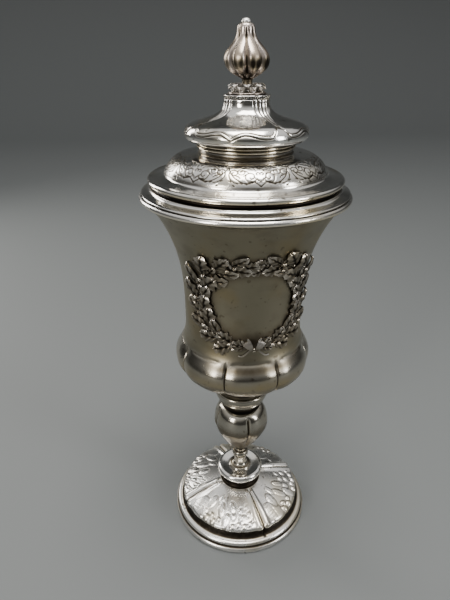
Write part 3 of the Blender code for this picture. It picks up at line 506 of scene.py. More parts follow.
def foot_relief(radius, height, angle):
    """Creases and chasing of the foot's panels."""
    side = np.abs(crease_distance(radius, angle, PANELS, FOOT_CREASE))
    inner = smooth(radius, 12.8, 17.0)
    deep = shape_size("foot_crease")
    spread = 0.55 + 0.45 * smooth(radius, 16.0, 34.0)
    groove = bump(side, 1.15 * spread)
    roll = 1.05 * bump(side - 2.7 * spread, 3.3 * spread)
    across = radius * ((angle - math.radians(FOOT_CREASE)) % PANEL_ANGLE - 0.5 * PANEL_ANGLE)
    chased = smooth(side, 4.4, 5.6) * smooth(radius, 17.0, 21.0)
    form, outline = chased_fruit(across, radius - PANEL_SEAT)
    edge = smooth(39.0 - radius, 0.0, 1.2)
    push = edge * (inner * (roll - deep * groove) + chased * (form - 0.08 * outline))
    # Painted shade: dark in the creases between the panels, round the edges of the chased forms and where the
    # boss sits on the foot.
    recess = 0.92 * inner * bump(side, 0.85 * spread)
    recess = np.maximum(recess, 0.44 * chased * outline)
    recess = np.maximum(recess, 0.80 * smooth(13.6 - radius, 0.0, 0.8))
    # Warm tint on the tops of the fruit: wear, and a painted warm highlight.
    wear = 0.30 * chased * smooth(form, 0.4, 0.9)
    return {"push": push, "recess": recess, "wear": wear}


def riser_relief(radius, height, angle):
    """Dark cove under the panels with a notch at each crease: painted shade under the panels' overhang."""
    side = np.abs(crease_distance(radius, angle, PANELS, FOOT_CREASE))
    across = radius * ((angle - math.radians(FOOT_CREASE)) % PANEL_ANGLE - 0.5 * PANEL_ANGLE)
    scallop = 0.7 * np.abs(np.sin(0.95 * across)) * smooth(side, 5.0, 8.0)
    cove = smooth(height, 7.3, 8.2) * smooth(14.2 + scallop - height, 0.0, 0.8)
    notch = bump(side, 1.3) * cove
    return {"push": -notch, "recess": np.maximum(0.80 * cove, 0.98 * notch)}


def groove_relief(radius, height, angle):
    """Rings of the foot's rim, with painted shade in the groove where they meet."""
    return {"recess": 0.98 * bump(height - 4.25, 0.75)}


def make_foot():
    """Chased foot with its ringed rim and hollow underside."""
    under = profile(
        (0.0, 21.4), ((11.0, 21.4), 2.5), ((22.0, 18.6), (31.5, 16.6), (34.6, 11.4), 1.5),
        ((39.2, 6.4), 1.5), ((40.5, 0.35), 1.2), ((40.9, 0.0), 0.4), ((42.9, 0.0), 0.8))
    rim = join_runs(
        arc((42.2, 2.1), 1.8, 2.1, -65.0, 82.0, 14), arc((41.0, 5.85), 1.55, 1.65, -62.0, 84.0, 12))
    riser = profile(
        tuple(rim[-1]), ((39.8, 7.6), (38.9, 8.2), (38.5, 9.4), 0.4),
        ((38.0, 11.2), (38.2, 12.2), (38.3, 12.8), 0.4))
    panel = profile(
        (38.3, 12.8), ((38.5, 14.0), (37.8, 14.8), (36.4, 15.3), 0.25),
        ((29.0, 18.6), (21.0, 20.6), (13.2, 22.3), 0.27), ((12.8, 22.4), (12.7, 22.5), (12.4, 22.55), 0.3))
    lid = line((12.4, 22.55), (0.0, 22.55), 3.0)
    # The underside of the foot is darkened with painted shade.
    stretches = ((under, 120, even(recess=0.35)), (rim, 240, groove_relief),
                 (riser, 480, riser_relief), (panel, 480, foot_relief), (lid[1:], 120, even()))
    material = plate_material("Foot plate", finish_value("silver"), 2.0 * finish_value("polish"), smudge=0.16)
    piece = turned("foot_shell", stretches, material, FOOT_CREASE)
    place_piece(piece, "foot")


def make_boss():
    """Polished boss with a round rim and a dished top."""
    outside = profile(
        (0.0, 22.9), ((11.6, 22.9), 2.0), ((10.9, 23.6), (10.6, 25.4), (11.2, 26.8), 0.4),
        ((12.4, 28.2), (14.6, 28.8), (14.85, 30.8), 0.4), ((14.9, 32.4), (14.0, 33.4), (12.7, 33.42), 0.3),
        ((11.3, 33.4), (9.6, 32.5), (7.9, 32.5), 0.4), ((0.0, 32.5), 1.4))

    def relief(radius, height, angle):
        # Painted shade: black under the rim's overhang, half dark on the rim's underside and round the stem's
        # seat in the dish.
        neck = smooth(26.6 - height, 0.0, 1.6)
        band = 0.45 * smooth(29.2 - height, 0.0, 1.6)
        seat = 0.7 * smooth(8.0 - radius, 0.0, 0.6) * smooth(height, 31.0, 32.0)
        return {"recess": np.maximum(0.97 * neck, np.maximum(band, seat))}

    material = plate_material("Boss plate", finish_value("silver"), 1.2 * finish_value("polish"))
    place_piece(turned("boss_dome", ((outside, 144, relief),), material), "foot_boss")


def make_stem():
    """Baluster stem: flared base, bead, four-lobed knop and cupped collar."""
    lower = profile(
        (0.0, 32.8), ((7.3, 32.8), 1.5), ((7.2, 33.6), (6.8, 34.0), (6.2, 34.2), 0.3),
        ((4.6, 34.6), (3.8, 35.6), (3.75, 37.6), 0.3), ((3.7, 39.4), (3.8, 40.6), (4.1, 41.7), 0.3),
        ((5.6, 41.9), (5.6, 45.8), (4.1, 46.0), 0.3), ((3.7, 46.8), (3.8, 48.4), (4.6, 49.4), 0.3))
    knop = profile(
        (4.6, 49.4), ((7.6, 52.5), (16.9, 66.1), (16.9, 71.3), 0.4),
        ((16.9, 78.2), (15.4, 82.4), (12.0, 84.2), 0.35))
    upper = profile(
        (12.0, 84.2), ((11.0, 84.6), (9.9, 84.9), (9.5, 86.0), 0.35), ((9.5, 88.8), 0.6),
        ((10.5, 89.4), (12.6, 89.3), (13.6, 89.5), 0.4), ((14.5, 89.7), (14.4, 90.4), (13.9, 90.8), 0.2),
        ((15.0, 91.6), (16.1, 93.4), (16.2, 95.6), 0.3), ((16.3, 96.9), (15.7, 97.4), (14.8, 97.5), 0.25),
        ((12.9, 98.4), (12.0, 100.4), (12.2, 101.6), 0.4),
        ((12.6, 103.6), (13.6, 105.2), (14.5, 105.68), 0.5), ((0.0, 105.68), 2.4))
    deep = shape_size("knop_crease")

    def lobed(radius, height, angle):
        side = np.abs(crease_distance(radius, angle, PANELS, KNOP_CREASE))
        strength = smooth(height, 54.0, 62.0) * smooth(84.0 - height, 0.0, 4.0)
        dent = bump(side, 1.7) + 0.35 * bump(side, 7.0)
        # Painted shade: the lower knop is darkened and its creases are dark.
        foot = 0.45 * smooth(54.0 - height, 0.0, 4.0)
        foot = np.maximum(foot, 0.46 * smooth(79.0 - height, 0.0, 9.0))
        return {"push": -deep * dent * strength,
                "recess": np.maximum(0.85 * bump(side, 1.1) * strength, foot)}

    def necks(radius, height, angle):
        # Painted shadow in the neck under the collar's lip and in the neck between the collar and the bowl.
        dark = smooth(radius, 13.4, 12.0) * smooth(height, 83.6, 84.6) * smooth(91.4 - height, 0.0, 0.8)
        seat = smooth(14.6 - radius, 0.0, 1.2) * smooth(height, 97.4, 98.6)
        return {"recess": np.maximum(0.95 * dark, 0.9 * seat)}

    def ringed(radius, height, angle):
        # Painted shade in the grooves between the beads.
        rings = 0.8 * (bump(height - 41.6, 1.0) + bump(height - 46.3, 1.2)) + 0.5 * bump(height - 34.4, 1.0)
        return {"recess": np.clip(rings, 0.0, 1.0)}

    # The stem takes the darker bulb colour: painted shade.
    material = plate_material("Stem plate", finish_value("bulb"), 1.3 * finish_value("polish"))
    stretches = ((lower, 72, ringed), (knop, 216, lobed), (upper[1:], 72, necks))
    place_piece(turned("stem_baluster", stretches, material, KNOP_CREASE), "stem")


def wall_radius(height):
    """Outside radius of the bowl's wall at a height, in millimetres."""
    flare = np.maximum(0.0, (height - FLARE_START) / FLARE_HEIGHT)
    step = np.maximum(0.0, (BULB_TOP + BULB_TOP_BLEND - height) / BULB_TOP_BLEND)
    return WALL_RADIUS + FLARE_REACH * flare ** FLARE_POWER + BULB_TOP_STEP * step ** 2


def wreath_halo(along, up):
    """Darkening of the wall close round the wreath: painted shadow of the wreath, and patina."""
    level = (np.abs(along) / WREATH_HALF_WIDTH) ** WREATH_SQUARENESS
    level = level + (np.abs(up - WREATH_MIDDLE) / WREATH_HALF_HEIGHT) ** WREATH_SQUARENESS
    return np.exp(-((level - 1.0) / 0.60) ** 4)


def make_bowl():
    """Bowl with its eight-lobed bulb, satin wall and beaded lip, hollow inside."""
    bottom = line((0.0, 106.0), (14.4, 106.0), 2.5)
    bulb = profile(
        (14.4, 106.0), ((29.4, 113.7), (38.7, 113.0), (38.7, 126.1), 0.55),
        ((38.7, 131.1), (32.8, 134.9), (32.55, 143.4), 0.5))
    heights = np.concatenate([np.linspace(144.4, 150.0, 7), np.linspace(151.0, 214.6, 70)])
    wall = np.column_stack([wall_radius(heights), heights])
    lip = arc((51.5, 217.2), 1.42, 1.42, -128.0, 90.0, 16)
    heights = np.linspace(214.5, 141.0, 60)
    inside_wall = np.column_stack([wall_radius(heights) - 1.2, heights])
    inside = join_runs(
        cubic((51.5, 218.62), (50.6, 218.6), (50.3, 217.0), (49.3, 215.4), 0.6), inside_wall,
        profile(tuple(inside_wall[-1]), ((31.4, 134.0), (36.2, 131.0), (35.9, 126.0), 1.2),
        ((35.9, 116.5), (28.5, 113.6), (22.0, 110.2), 1.2),
        ((18.0, 108.2), (16.0, 107.3), (13.0, 107.2), 1.2), ((0.0, 107.2), 2.5)))
    deep = shape_size("bulb_crease")

    def lobed(radius, height, angle):
        side = np.abs(crease_distance(radius, angle, BULB_LOBES, BULB_CREASE))
        strength = smooth(height, 106.5, 110.0) * smooth(137.0 - height, 0.0, 5.0)
        dent = 0.50 * bump(side, 0.95) + 0.46 * bump(side, 8.0)
        # Painted shade: the lower bulb is darker, the creases and the arches at the tops of the lobes are
        # dark, and the bulb takes the darker bulb colour.
        under = 0.36 * smooth(125.5 - height, 0.0, 7.5)
        # Painted reflection: a dark band across the front of the bulb's upper part.
        shade = 0.55 * bump(height - 132.8, 4.4) * smooth(np.cos(angle), 0.55, 0.95)
        arch = bump(height - 135.8, 1.5) * smooth(side, 2.0, 6.0)
        return {"push": -deep * dent * strength - 0.30 * arch,
                "recess": np.maximum.reduce([bump(side, 0.62) * strength, under, 0.26 * arch, shade]),
                "satin": smooth(height, 134.0, 139.0), "toned": smooth(142.0 - height, 0.0, 2.0),
                # Painted warm highlight: a warm band round the bulb's middle.
                "wear": 0.65 * bump(height - 123.0, 7.0)}

    def brushed(radius, height, angle):
        # Painted shadow of the wreath, and patina, darken the wall round it.
        halo = wreath_halo(WALL_RADIUS * ((angle + math.pi) % TURN - math.pi), height)
        return {"satin": smooth(215.6 - height, 0.0, 0.7), "recess": 0.62 * halo}

    def lipped(radius, height, angle):
        # Painted shade under the lip's bead; the bead's top is worn warm.
        return {"recess": 0.9 * bump(height - 215.9, 0.8), "wear": 0.5 * smooth(217.4 - height, 0.0, 0.8)}

    material = plate_material("Bowl plate", finish_value("silver"), 1.5 * finish_value("polish"), smudge=0.16,
                              satin=(finish_value("satin"), finish_value("satin_polish")))
    stretches = ((bottom, 80, even()), (bulb, 640, lobed), (wall, 160, brushed), (lip, 160, lipped),
                 (inside[1:], 80, even(satin=0.6)))
    place_piece(turned("bowl_body", stretches, material, BULB_CREASE), "bowl")


def strip_faces(rows, ring):
    """Faces of a closed strip of flat rings, with its two ends."""
    faces = rows_faces([ring] * rows)
    last = (rows - 1) * ring
    for near in range(ring // 2 - 1):
        end = [near, near + 1, ring - 2 - near, ring - 1 - near]
        faces += [end[::-1], [last + corner for corner in end]]
    return faces


def blade(path, widths, dome, vein, thickness, columns, painted_shade=1.0):
    """A closed leaf: a path of forward and lift points, its half widths, a crowned face and a sunk vein."""
    rows = len(path)
    along = np.linspace(0.0, 1.0, rows)[:, None]
    across = np.linspace(-1.0, 1.0, columns)
    forward, lift, width = path[:, :1], path[:, 1:], widths[:, None]
    open_face = 1.0 - across ** 2
    ribs = np.cos(TURN * (3.5 * along - 0.8 * np.abs(across))) * open_face
    groove = np.exp(-(across / 0.16) ** 2)
    rim = smooth(np.abs(across), 0.62, 1.0)
    top = lift + width * (dome * open_face + 0.10 * ribs) - vein * groove
    sweep = forward + 0.22 * width * across ** 2 * (1.0 - along)
    face = np.stack([across * width, -top, sweep], axis=2)
    back = np.stack([across * width, thickness - np.minimum(top, lift), sweep], axis=2)
    points = np.concatenate([face, back[:, ::-1]], axis=1).reshape(-1, 3)
    tip = smooth(along, 0.60, 0.97)
    # Painted shade on the leaf: dark in the vein, between the ribs, towards the stalk and over the back, with
    # a painted highlight on the rims near the tip; the last argument scales it.
    shade = 0.60 * groove + 0.22 * (0.5 - 0.5 * ribs) + 0.34 * (1.0 - tip) - 0.25 * rim * tip
    recess = np.hstack([np.clip(painted_shade * shade, 0.0, 1.0), np.full((rows, columns), 0.95 * painted_shade)])
    wear = np.hstack([np.repeat(0.10 * tip, columns, axis=1), np.zeros((rows, columns))])
    return points, strip_faces(rows, 2 * columns), recess.ravel(), wear.ravel()


def leaf_object(name, points, faces, recess, wear, satin=0.0):
    """A leaf kept aside for the node tree that sets it on points."""
    blank = bpy.data.materials.get("Leaf blank") or bpy.data.materials.new("Leaf blank")
    masks = {"recess": recess, "wear": wear, "satin": np.full(len(points), satin)}
    return make_piece(name, points, faces, masks, blank)


def berry_object(name, radius):
    """A berry with painted shade on its foot, the side that lies against the wall."""
    rings, sides = 9, 14
    polar = np.linspace(0.0, math.pi, rings)[1:-1, None]
    turn = TURN * np.arange(sides) / sides
    reach, level = np.sin(polar), np.repeat(-np.cos(polar), sides, axis=1)
    ball = np.stack([reach * np.cos(turn), level, reach * np.sin(turn)], axis=2).reshape(-1, 3)
    points = radius * np.concatenate([[[0.0, -1.0, 0.0]], ball, [[0.0, 1.0, 0.0]]])
    faces = [face[::-1] for face in rows_faces([1] + [sides] * (rings - 2) + [1])]
    recess = smooth(points[:, 1], -0.35 * radius, 0.55 * radius) * 0.95
    return leaf_object(name, points, faces, recess, 0.2 * (1.0 - recess))


def leaves_tree():
    """Sets a leaf on each point by its turn and size, and makes the copies real."""
    tree = bpy.data.node_groups.new("Leaves on points", "GeometryNodeTree")
    names = {}
    for label, way, kind in (("Geometry", "INPUT", "Geometry"), ("Leaf", "INPUT", "Object"),
                             ("Finish", "INPUT", "Material"), ("Geometry", "OUTPUT", "Geometry")):
        socket = tree.interface.new_socket(label, in_out=way, socket_type="NodeSocket" + kind)
        names[label] = socket.identifier
    new, link = tree.nodes.new, tree.links.new
    given = new("NodeGroupInput").outputs
    leaf = new("GeometryNodeObjectInfo")
    link(given["Leaf"], leaf.inputs["Object"])
    scatter = new("GeometryNodeInstanceOnPoints")
    link(given["Geometry"], scatter.inputs["Points"])
    link(leaf.outputs["Geometry"], scatter.inputs["Instance"])
    for label, socket in (("turn", "Rotation"), ("size", "Scale")):
        read = add_node(tree, "GeometryNodeInputNamedAttribute", data_type="FLOAT_VECTOR", Name=label)
        link(read.outputs["Attribute"], scatter.inputs[socket])
    real = new("GeometryNodeRealizeInstances")
    link(scatter.outputs[0], real.inputs[0])
    paint = new("GeometryNodeSetMaterial")
    link(real.outputs[0], paint.inputs["Geometry"])
    link(given["Finish"], paint.inputs["Material"])
    link(paint.outputs[0], new("NodeGroupOutput").inputs[0])
    return tree, names


def set_leaves(scatter, leaf, places, turns, sizes, material):
    """A mesh of one kind of leaf that the scatter's tree sets on its points, in millimetres."""
    tree, names = scatter
    points = bpy.data.meshes.new(leaf.name + "_points")
    points.from_pydata((np.array(places) * MM).tolist(), [], [])
    for label, values in (("turn", turns), ("size", sizes)):
        attribute = points.attributes.new(label, "FLOAT_VECTOR", "POINT")
        attribute.data.foreach_set("vector", np.array(values, np.float32).ravel())
    carrier = bpy.data.objects.new(leaf.name + "_points", points)
    bpy.context.scene.collection.objects.link(carrier)
    modifier = carrier.modifiers.new("Leaves", "NODES")
    modifier.node_group = tree
    modifier[names["Leaf"]] = leaf
    modifier[names["Finish"]] = material
    graph = bpy.context.evaluated_depsgraph_get()
    mesh = bpy.data.meshes.new_from_object(carrier.evaluated_get(graph))
    carrier.modifiers.remove(modifier)
    bpy.data.objects.remove(carrier)
    bpy.data.objects.remove(leaf)
    return mesh


def merge_meshes(name, meshes, material):
    """One piece from several meshes that share one finish."""
    points, faces, masks, first = [], [], {label: [] for label in MASKS}, 0
    for mesh in meshes:
        place = np.zeros(len(mesh.vertices) * 3, np.float32)
        mesh.vertices.foreach_get("co", place)
        points.append(place.reshape(-1, 3) / MM)
        faces += [[first + corner for corner in face.vertices] for face in mesh.polygons]
        for label, values in masks.items():
            read = np.zeros(len(mesh.vertices), np.float32)
            if label in mesh.attributes:
                mesh.attributes[label].data.foreach_get("value", read)
            values.append(read)
        first += len(mesh.vertices)
    masks = {label: np.concatenate(values) for label, values in masks.items()}
    return make_piece(name, np.concatenate(points), faces, masks, material)


def wreath_path(share):
    """Place along the wall and up it at a share of half the wreath, from foot to top, and the way it runs."""
    turn = np.linspace(0.0, math.pi, 181)
    power = 2.0 / WREATH_SQUARENESS
    over = WREATH_HALF_WIDTH * np.sin(turn) ** power
    up = WREATH_MIDDLE - WREATH_HALF_HEIGHT * np.sign(np.cos(turn)) * np.abs(np.cos(turn)) ** power
    run = np.concatenate([[0.0], np.cumsum(np.hypot(np.diff(over), np.diff(up)))])
    here, beyond = [[np.interp(at * run[-1], run, values) for values in (over, up)]
                    for at in (share, share + 0.01)]
    return here, math.atan2(beyond[0] - here[0], beyond[1] - here[1])


def scatter_value(seed):
    """An even scatter from 0 to 1 that is the same each run."""
    value = math.sin(12.9898 * seed + 4.1414) * 43758.5453
    return value - math.floor(value)


def ribbon(points, width, thickness):
    """A closed flat strip through points along, out from the wall and up; the width can change."""
    strip = bpy.data.meshes.new("ribbon")
    path = np.array(points, float)
    way = np.gradient(path, axis=0)
    side = np.column_stack([way[:, 2], np.zeros(len(way)), -way[:, 0]])
    side *= (0.5 * width / np.maximum(np.linalg.norm(side, axis=1), 1e-6))[:, None]
    up = np.array([0.0, -thickness, 0.0])
    corners = np.stack([path - side, path + side, path + side + up, path - side + up], axis=1)
    strip.from_pydata((corners.reshape(-1, 3) * MM).tolist(), [], strip_faces(len(path), 4))
    # Painted shade on the ribbon: dark on the side against the wall, and fading along it from the knot.
    fade = np.linspace(0.55, 0.10, len(path))
    recess = np.column_stack([np.full((len(path), 2), 0.9), fade, fade]).astype(np.float32)
    strip.attributes.new("recess", "FLOAT", "POINT").data.foreach_set("value", recess.ravel())
    return strip


def bend_mesh(mesh):
    """Bends a flat mesh, along and up, round the bowl's wall."""
    place = np.zeros(len(mesh.vertices) * 3, np.float32)
    mesh.vertices.foreach_get("co", place)
    place = place.reshape(-1, 3).astype(float) / MM
    reach = wall_radius(place[:, 2]) - place[:, 1]
    angle = place[:, 0] / WALL_RADIUS
    bent = np.column_stack([reach * np.sin(angle), -reach * np.cos(angle), place[:, 2]]) * MM
    mesh.vertices.foreach_set("co", bent.astype(np.float32).ravel())
    return mesh


def leaf_outline(rows, half_width, lobes, depth):
    """Half widths of a leaf from its stalk to its tip, with its side lobes."""
    along = np.linspace(0.0, 1.0, rows)
    body = np.sin(math.pi * along ** 0.85) ** 0.62
    scallop = 1.0 - depth * (0.5 + 0.5 * np.cos(TURN * lobes * along)) * smooth(1.0 - along, 0.0, 0.2)
    return half_width * np.maximum(body * scallop, 0.07)


def wreath_sprays():
    """Places, turns and sizes of the wreath's leaves and berries, by kind."""
    stations = bpy.context.scene.goblet_shape.leaf_stations
    sprays = {kind: ([], [], []) for kind in ("laurel", "oak", "berry")}

    def put(kind, place, turn, size):
        for values, value in zip(sprays[kind], (place, (0.0, turn, 0.0), (size, size, size))):
            values.append(value)

    seed = 0
    for half in (-1, 1):
        for station in range(stations):
            share = 0.02 + 0.93 * (station + 0.2) / stations
            (over, up), heading = wreath_path(share)
            broad = smooth(math.sin(math.pi * share ** 0.9), 0.15, 0.95)
            for lane, swing in ((-1, -0.50), (1, 0.44), (0, 0.02)):
                seed += 1
                jitter = scatter_value(seed) - 0.5
                kind = "laurel" if (station + lane) % 3 == 1 else "oak"
                out = heading + 0.5 * math.pi
                shift = lane * (0.5 + 1.2 * broad) - 0.7 * broad + 0.5 * jitter
                place = (half * (over + shift * math.sin(out)), 0.20 + 0.95 * (lane == 0),
                         up + shift * math.cos(out))
                size = (0.70 + 0.30 * broad + 0.16 * jitter) * (0.82 if lane == 0 else 1.0)
                put(kind, place, half * (heading + swing * (0.7 + 0.45 * broad) + 0.35 * jitter), size)
            if station % 2 == 1:
                for berry in range(3):
                    seed += 1
                    jitter = scatter_value(seed) - 0.5
                    put("berry", (half * (over + 1.7 * math.sin(2.1 * berry + seed)), -2.5,
                                  up + 1.7 * math.cos(2.1 * berry + seed)), 0.0, 0.95 + 0.3 * jitter)
    top = WREATH_MIDDLE + WREATH_HALF_HEIGHT
    for over, up, turn, size in ((-5.6, -0.9, 1.30, 0.62), (5.4, 0.5, -1.30, 0.62), (-2.6, 1.6, 1.9, 0.52),
                                 (3.0, -2.2, -1.9, 0.52), (-0.6, -1.2, 0.35, 0.50)):
        put("oak", (over, 0.3, top + up), turn, size)
    return sprays


def make_wreath():
    """Cast wreath: sprays of leaves and berries in two halves, tied with a bow at the foot."""
    long = shape_size("leaf")
    rows = 21
    along = np.linspace(0.0, 1.0, rows)
    rise = 0.30 + 1.9 * np.sin(0.5 * math.pi * along) - 1.1 * smooth(along, 0.84, 1.0)
    path = np.column_stack([long * along, rise])
    material = plate_material("Cast plate", finish_value("cast"), finish_value("cast_polish"), smudge=0.2)
    kinds = {
        "laurel": blade(path, leaf_outline(rows, 0.26 * long, 1.0, 0.0), 0.16, 0.42, 0.7, 13),
        "oak": blade(path, leaf_outline(rows, 0.42 * long, 3.0, 0.36), 0.12, 0.45, 0.7, 13),
    }
    sprays = wreath_sprays()
    scatter = leaves_tree()
    meshes = []
    for kind, (points, faces, recess, wear) in kinds.items():
        leaf = leaf_object(kind, points, faces, recess, wear)
        meshes.append(set_leaves(scatter, leaf, *sprays[kind], material))
    berry = berry_object("berry", shape_size("berry"))
    meshes.append(set_leaves(scatter, berry, *sprays["berry"], material))
    knot = WREATH_MIDDLE - WREATH_HALF_HEIGHT - 0.4
    swing = np.linspace(0.0, 1.0, 16)
    for half in (-1, 1):
        arm = np.column_stack([half * (0.4 + 3.4 * swing), -2.6 - 0.9 * np.sin(math.pi * swing),
                               knot + 5.4 * swing])
        meshes.append(ribbon(arm, 1.4 + 2.6 * smooth(swing, 0.0, 0.9), 0.9))
        for fork in (-1, 1):
            end = np.column_stack([half * (3.6 + 0.9 * swing) + fork * (1.15 + 0.3 * swing),
                                   np.full_like(swing, -2.7), knot + 4.7 + 2.2 * swing - 0.5 * half * fork])
            meshes.append(ribbon(end, 1.5 - 0.8 * swing, 0.9))
        tail = np.column_stack([half * 7.4 * swing, -1.9 - 0.6 * np.sin(math.pi * swing),
                                knot - 3.2 * swing + 0.8 * np.sin(TURN * swing)])
        meshes.append(ribbon(tail, 1.1 - 0.4 * swing, 0.8))
    tie = berry_object("tie", 1.5)
    meshes.append(set_leaves(scatter, tie, [(0.0, -2.4, knot)], [(0.0, 0.0, 0.0)], [(1.1, 0.8, 0.9)],
                             material))
    piece = merge_meshes("wreath_sprays", [bend_mesh(mesh) for mesh in meshes], material)
    place_piece(piece, "wreath")


def bracket_line(angle):
    """Height over the dome's edge of the bracket line: down to a point in the middle, up at the corners."""
    off = np.abs((angle - math.radians(LID_CREASE)) % PANEL_ANGLE - 0.5 * PANEL_ANGLE)
    degrees = np.degrees(off)
    cusp = 2.3 * np.clip(1.0 - degrees / 12.0, 0.0, 1.0) ** 1.6
    swell = 1.5 * smooth(degrees, 12.0, 30.0)
    corner = 4.4 * smooth(degrees, 33.0, 44.5) ** 1.3
    return 1.9 - cusp - swell + corner


def curl(centre, size, first, sweep, steps, close):
    """Points of a C-scroll: an arc that winds in towards its end."""
    angles = math.radians(first) + math.radians(sweep) * np.linspace(0.0, 1.0, steps)
    reach = size * (1.0 - (1.0 - close) * np.linspace(0.0, 1.0, steps) ** 1.6)
    return np.column_stack([centre[0] + reach * np.cos(angles), centre[1] + reach * np.sin(angles)])


def frieze_strokes():
    """Engraved strokes of one repeat of the band: scrolls, leaf cuts and dots, along it and up it."""
    sweeps = (
        ((13.9, 10.6), (12.6, 3.6), (5.4, 0.8), (2.3, 3.4)),
        ((9.0, 2.4), (11.8, 2.6), (13.6, 4.6), (13.2, 7.0)),
        ((2.0, 11.4), (5.4, 11.8), (8.6, 10.6), (9.6, 8.2)), ((0.0, 1.2), (1.4, 2.6), (2.6, 3.4), (4.4, 3.6)),
        ((0.0, 9.6), (0.7, 10.4), (0.6, 11.4), (0.0, 12.0)), ((4.9, 7.6), (6.0, 9.0), (7.6, 9.0), (8.4, 7.8)),
        ((10.6, 11.4), (11.8, 11.6), (12.8, 11.0), (13.3, 10.0)))
    curls = (
        (3.9, 5.4, 2.6, 215.0, 470.0, 0.22), (11.2, 7.2, 2.0, 350.0, 430.0, 0.25),
        (7.8, 8.0, 1.8, 25.0, -400.0, 0.25), (0.9, 6.9, 0.9, 200.0, -280.0, 0.5))
    cuts = (
        (5.6, 2.0, 1.0, 0.5), (7.4, 2.3, 1.1, 0.4), (12.0, 3.0, 0.9, 0.5), (6.0, 6.6, 0.9, -0.9),
        (9.6, 5.4, 1.1, 0.9), (8.4, 4.6, 1.0, 1.2), (1.6, 8.6, 0.6, 1.1), (13.4, 8.6, 0.5, 1.3),
        (10.4, 1.4, 0.8, 0.2), (3.2, 9.4, 0.8, 0.6), (4.8, 10.0, 0.8, 0.3), (6.6, 10.1, 0.8, -0.1),
        (1.0, 3.6, 0.3, 1.0), (1.8, 4.2, 0.3, 0.9), (0.3, 3.0, 0.2, 1.0))
    strokes = []
    for side in (-1, 1):
        mirror = np.array([side, 1.0])
        strokes += [cubic(*sweep, 1.0) * mirror for sweep in sweeps]
        strokes += [curl((place, up), size, first, turn, 18, close) * mirror
                    for place, up, size, first, turn, close in curls]
        strokes += [np.array([[place, up], [place + run, up + rise]]) * mirror
                    for place, up, run, rise in cuts]
    return strokes


def stroke_depth(along, up, strokes, width):
    """1 in the middle of each stroke, falling to 0 at its edge."""
    depth = np.zeros_like(along)
    for stroke in strokes:
        low = stroke.min(axis=0) - width
        high = stroke.max(axis=0) + width
        near = (along > low[0]) & (along < high[0]) & (up > low[1]) & (up < high[1])
        if not near.any():
            continue
        spot = np.column_stack([along[near], up[near]])
        best = np.full(len(spot), 1e9)
        for start, end in zip(stroke[:-1], stroke[1:]):
            way = end - start
            part = np.clip(((spot - start) @ way) / max(way @ way, 1e-9), 0.0, 1.0)
            best = np.minimum(best, np.linalg.norm(spot - start - part[:, None] * way, axis=1))
        depth[near] = np.maximum(depth[near], 1.0 - smooth(best, 0.25 * width, 0.9 * width))
    return depth


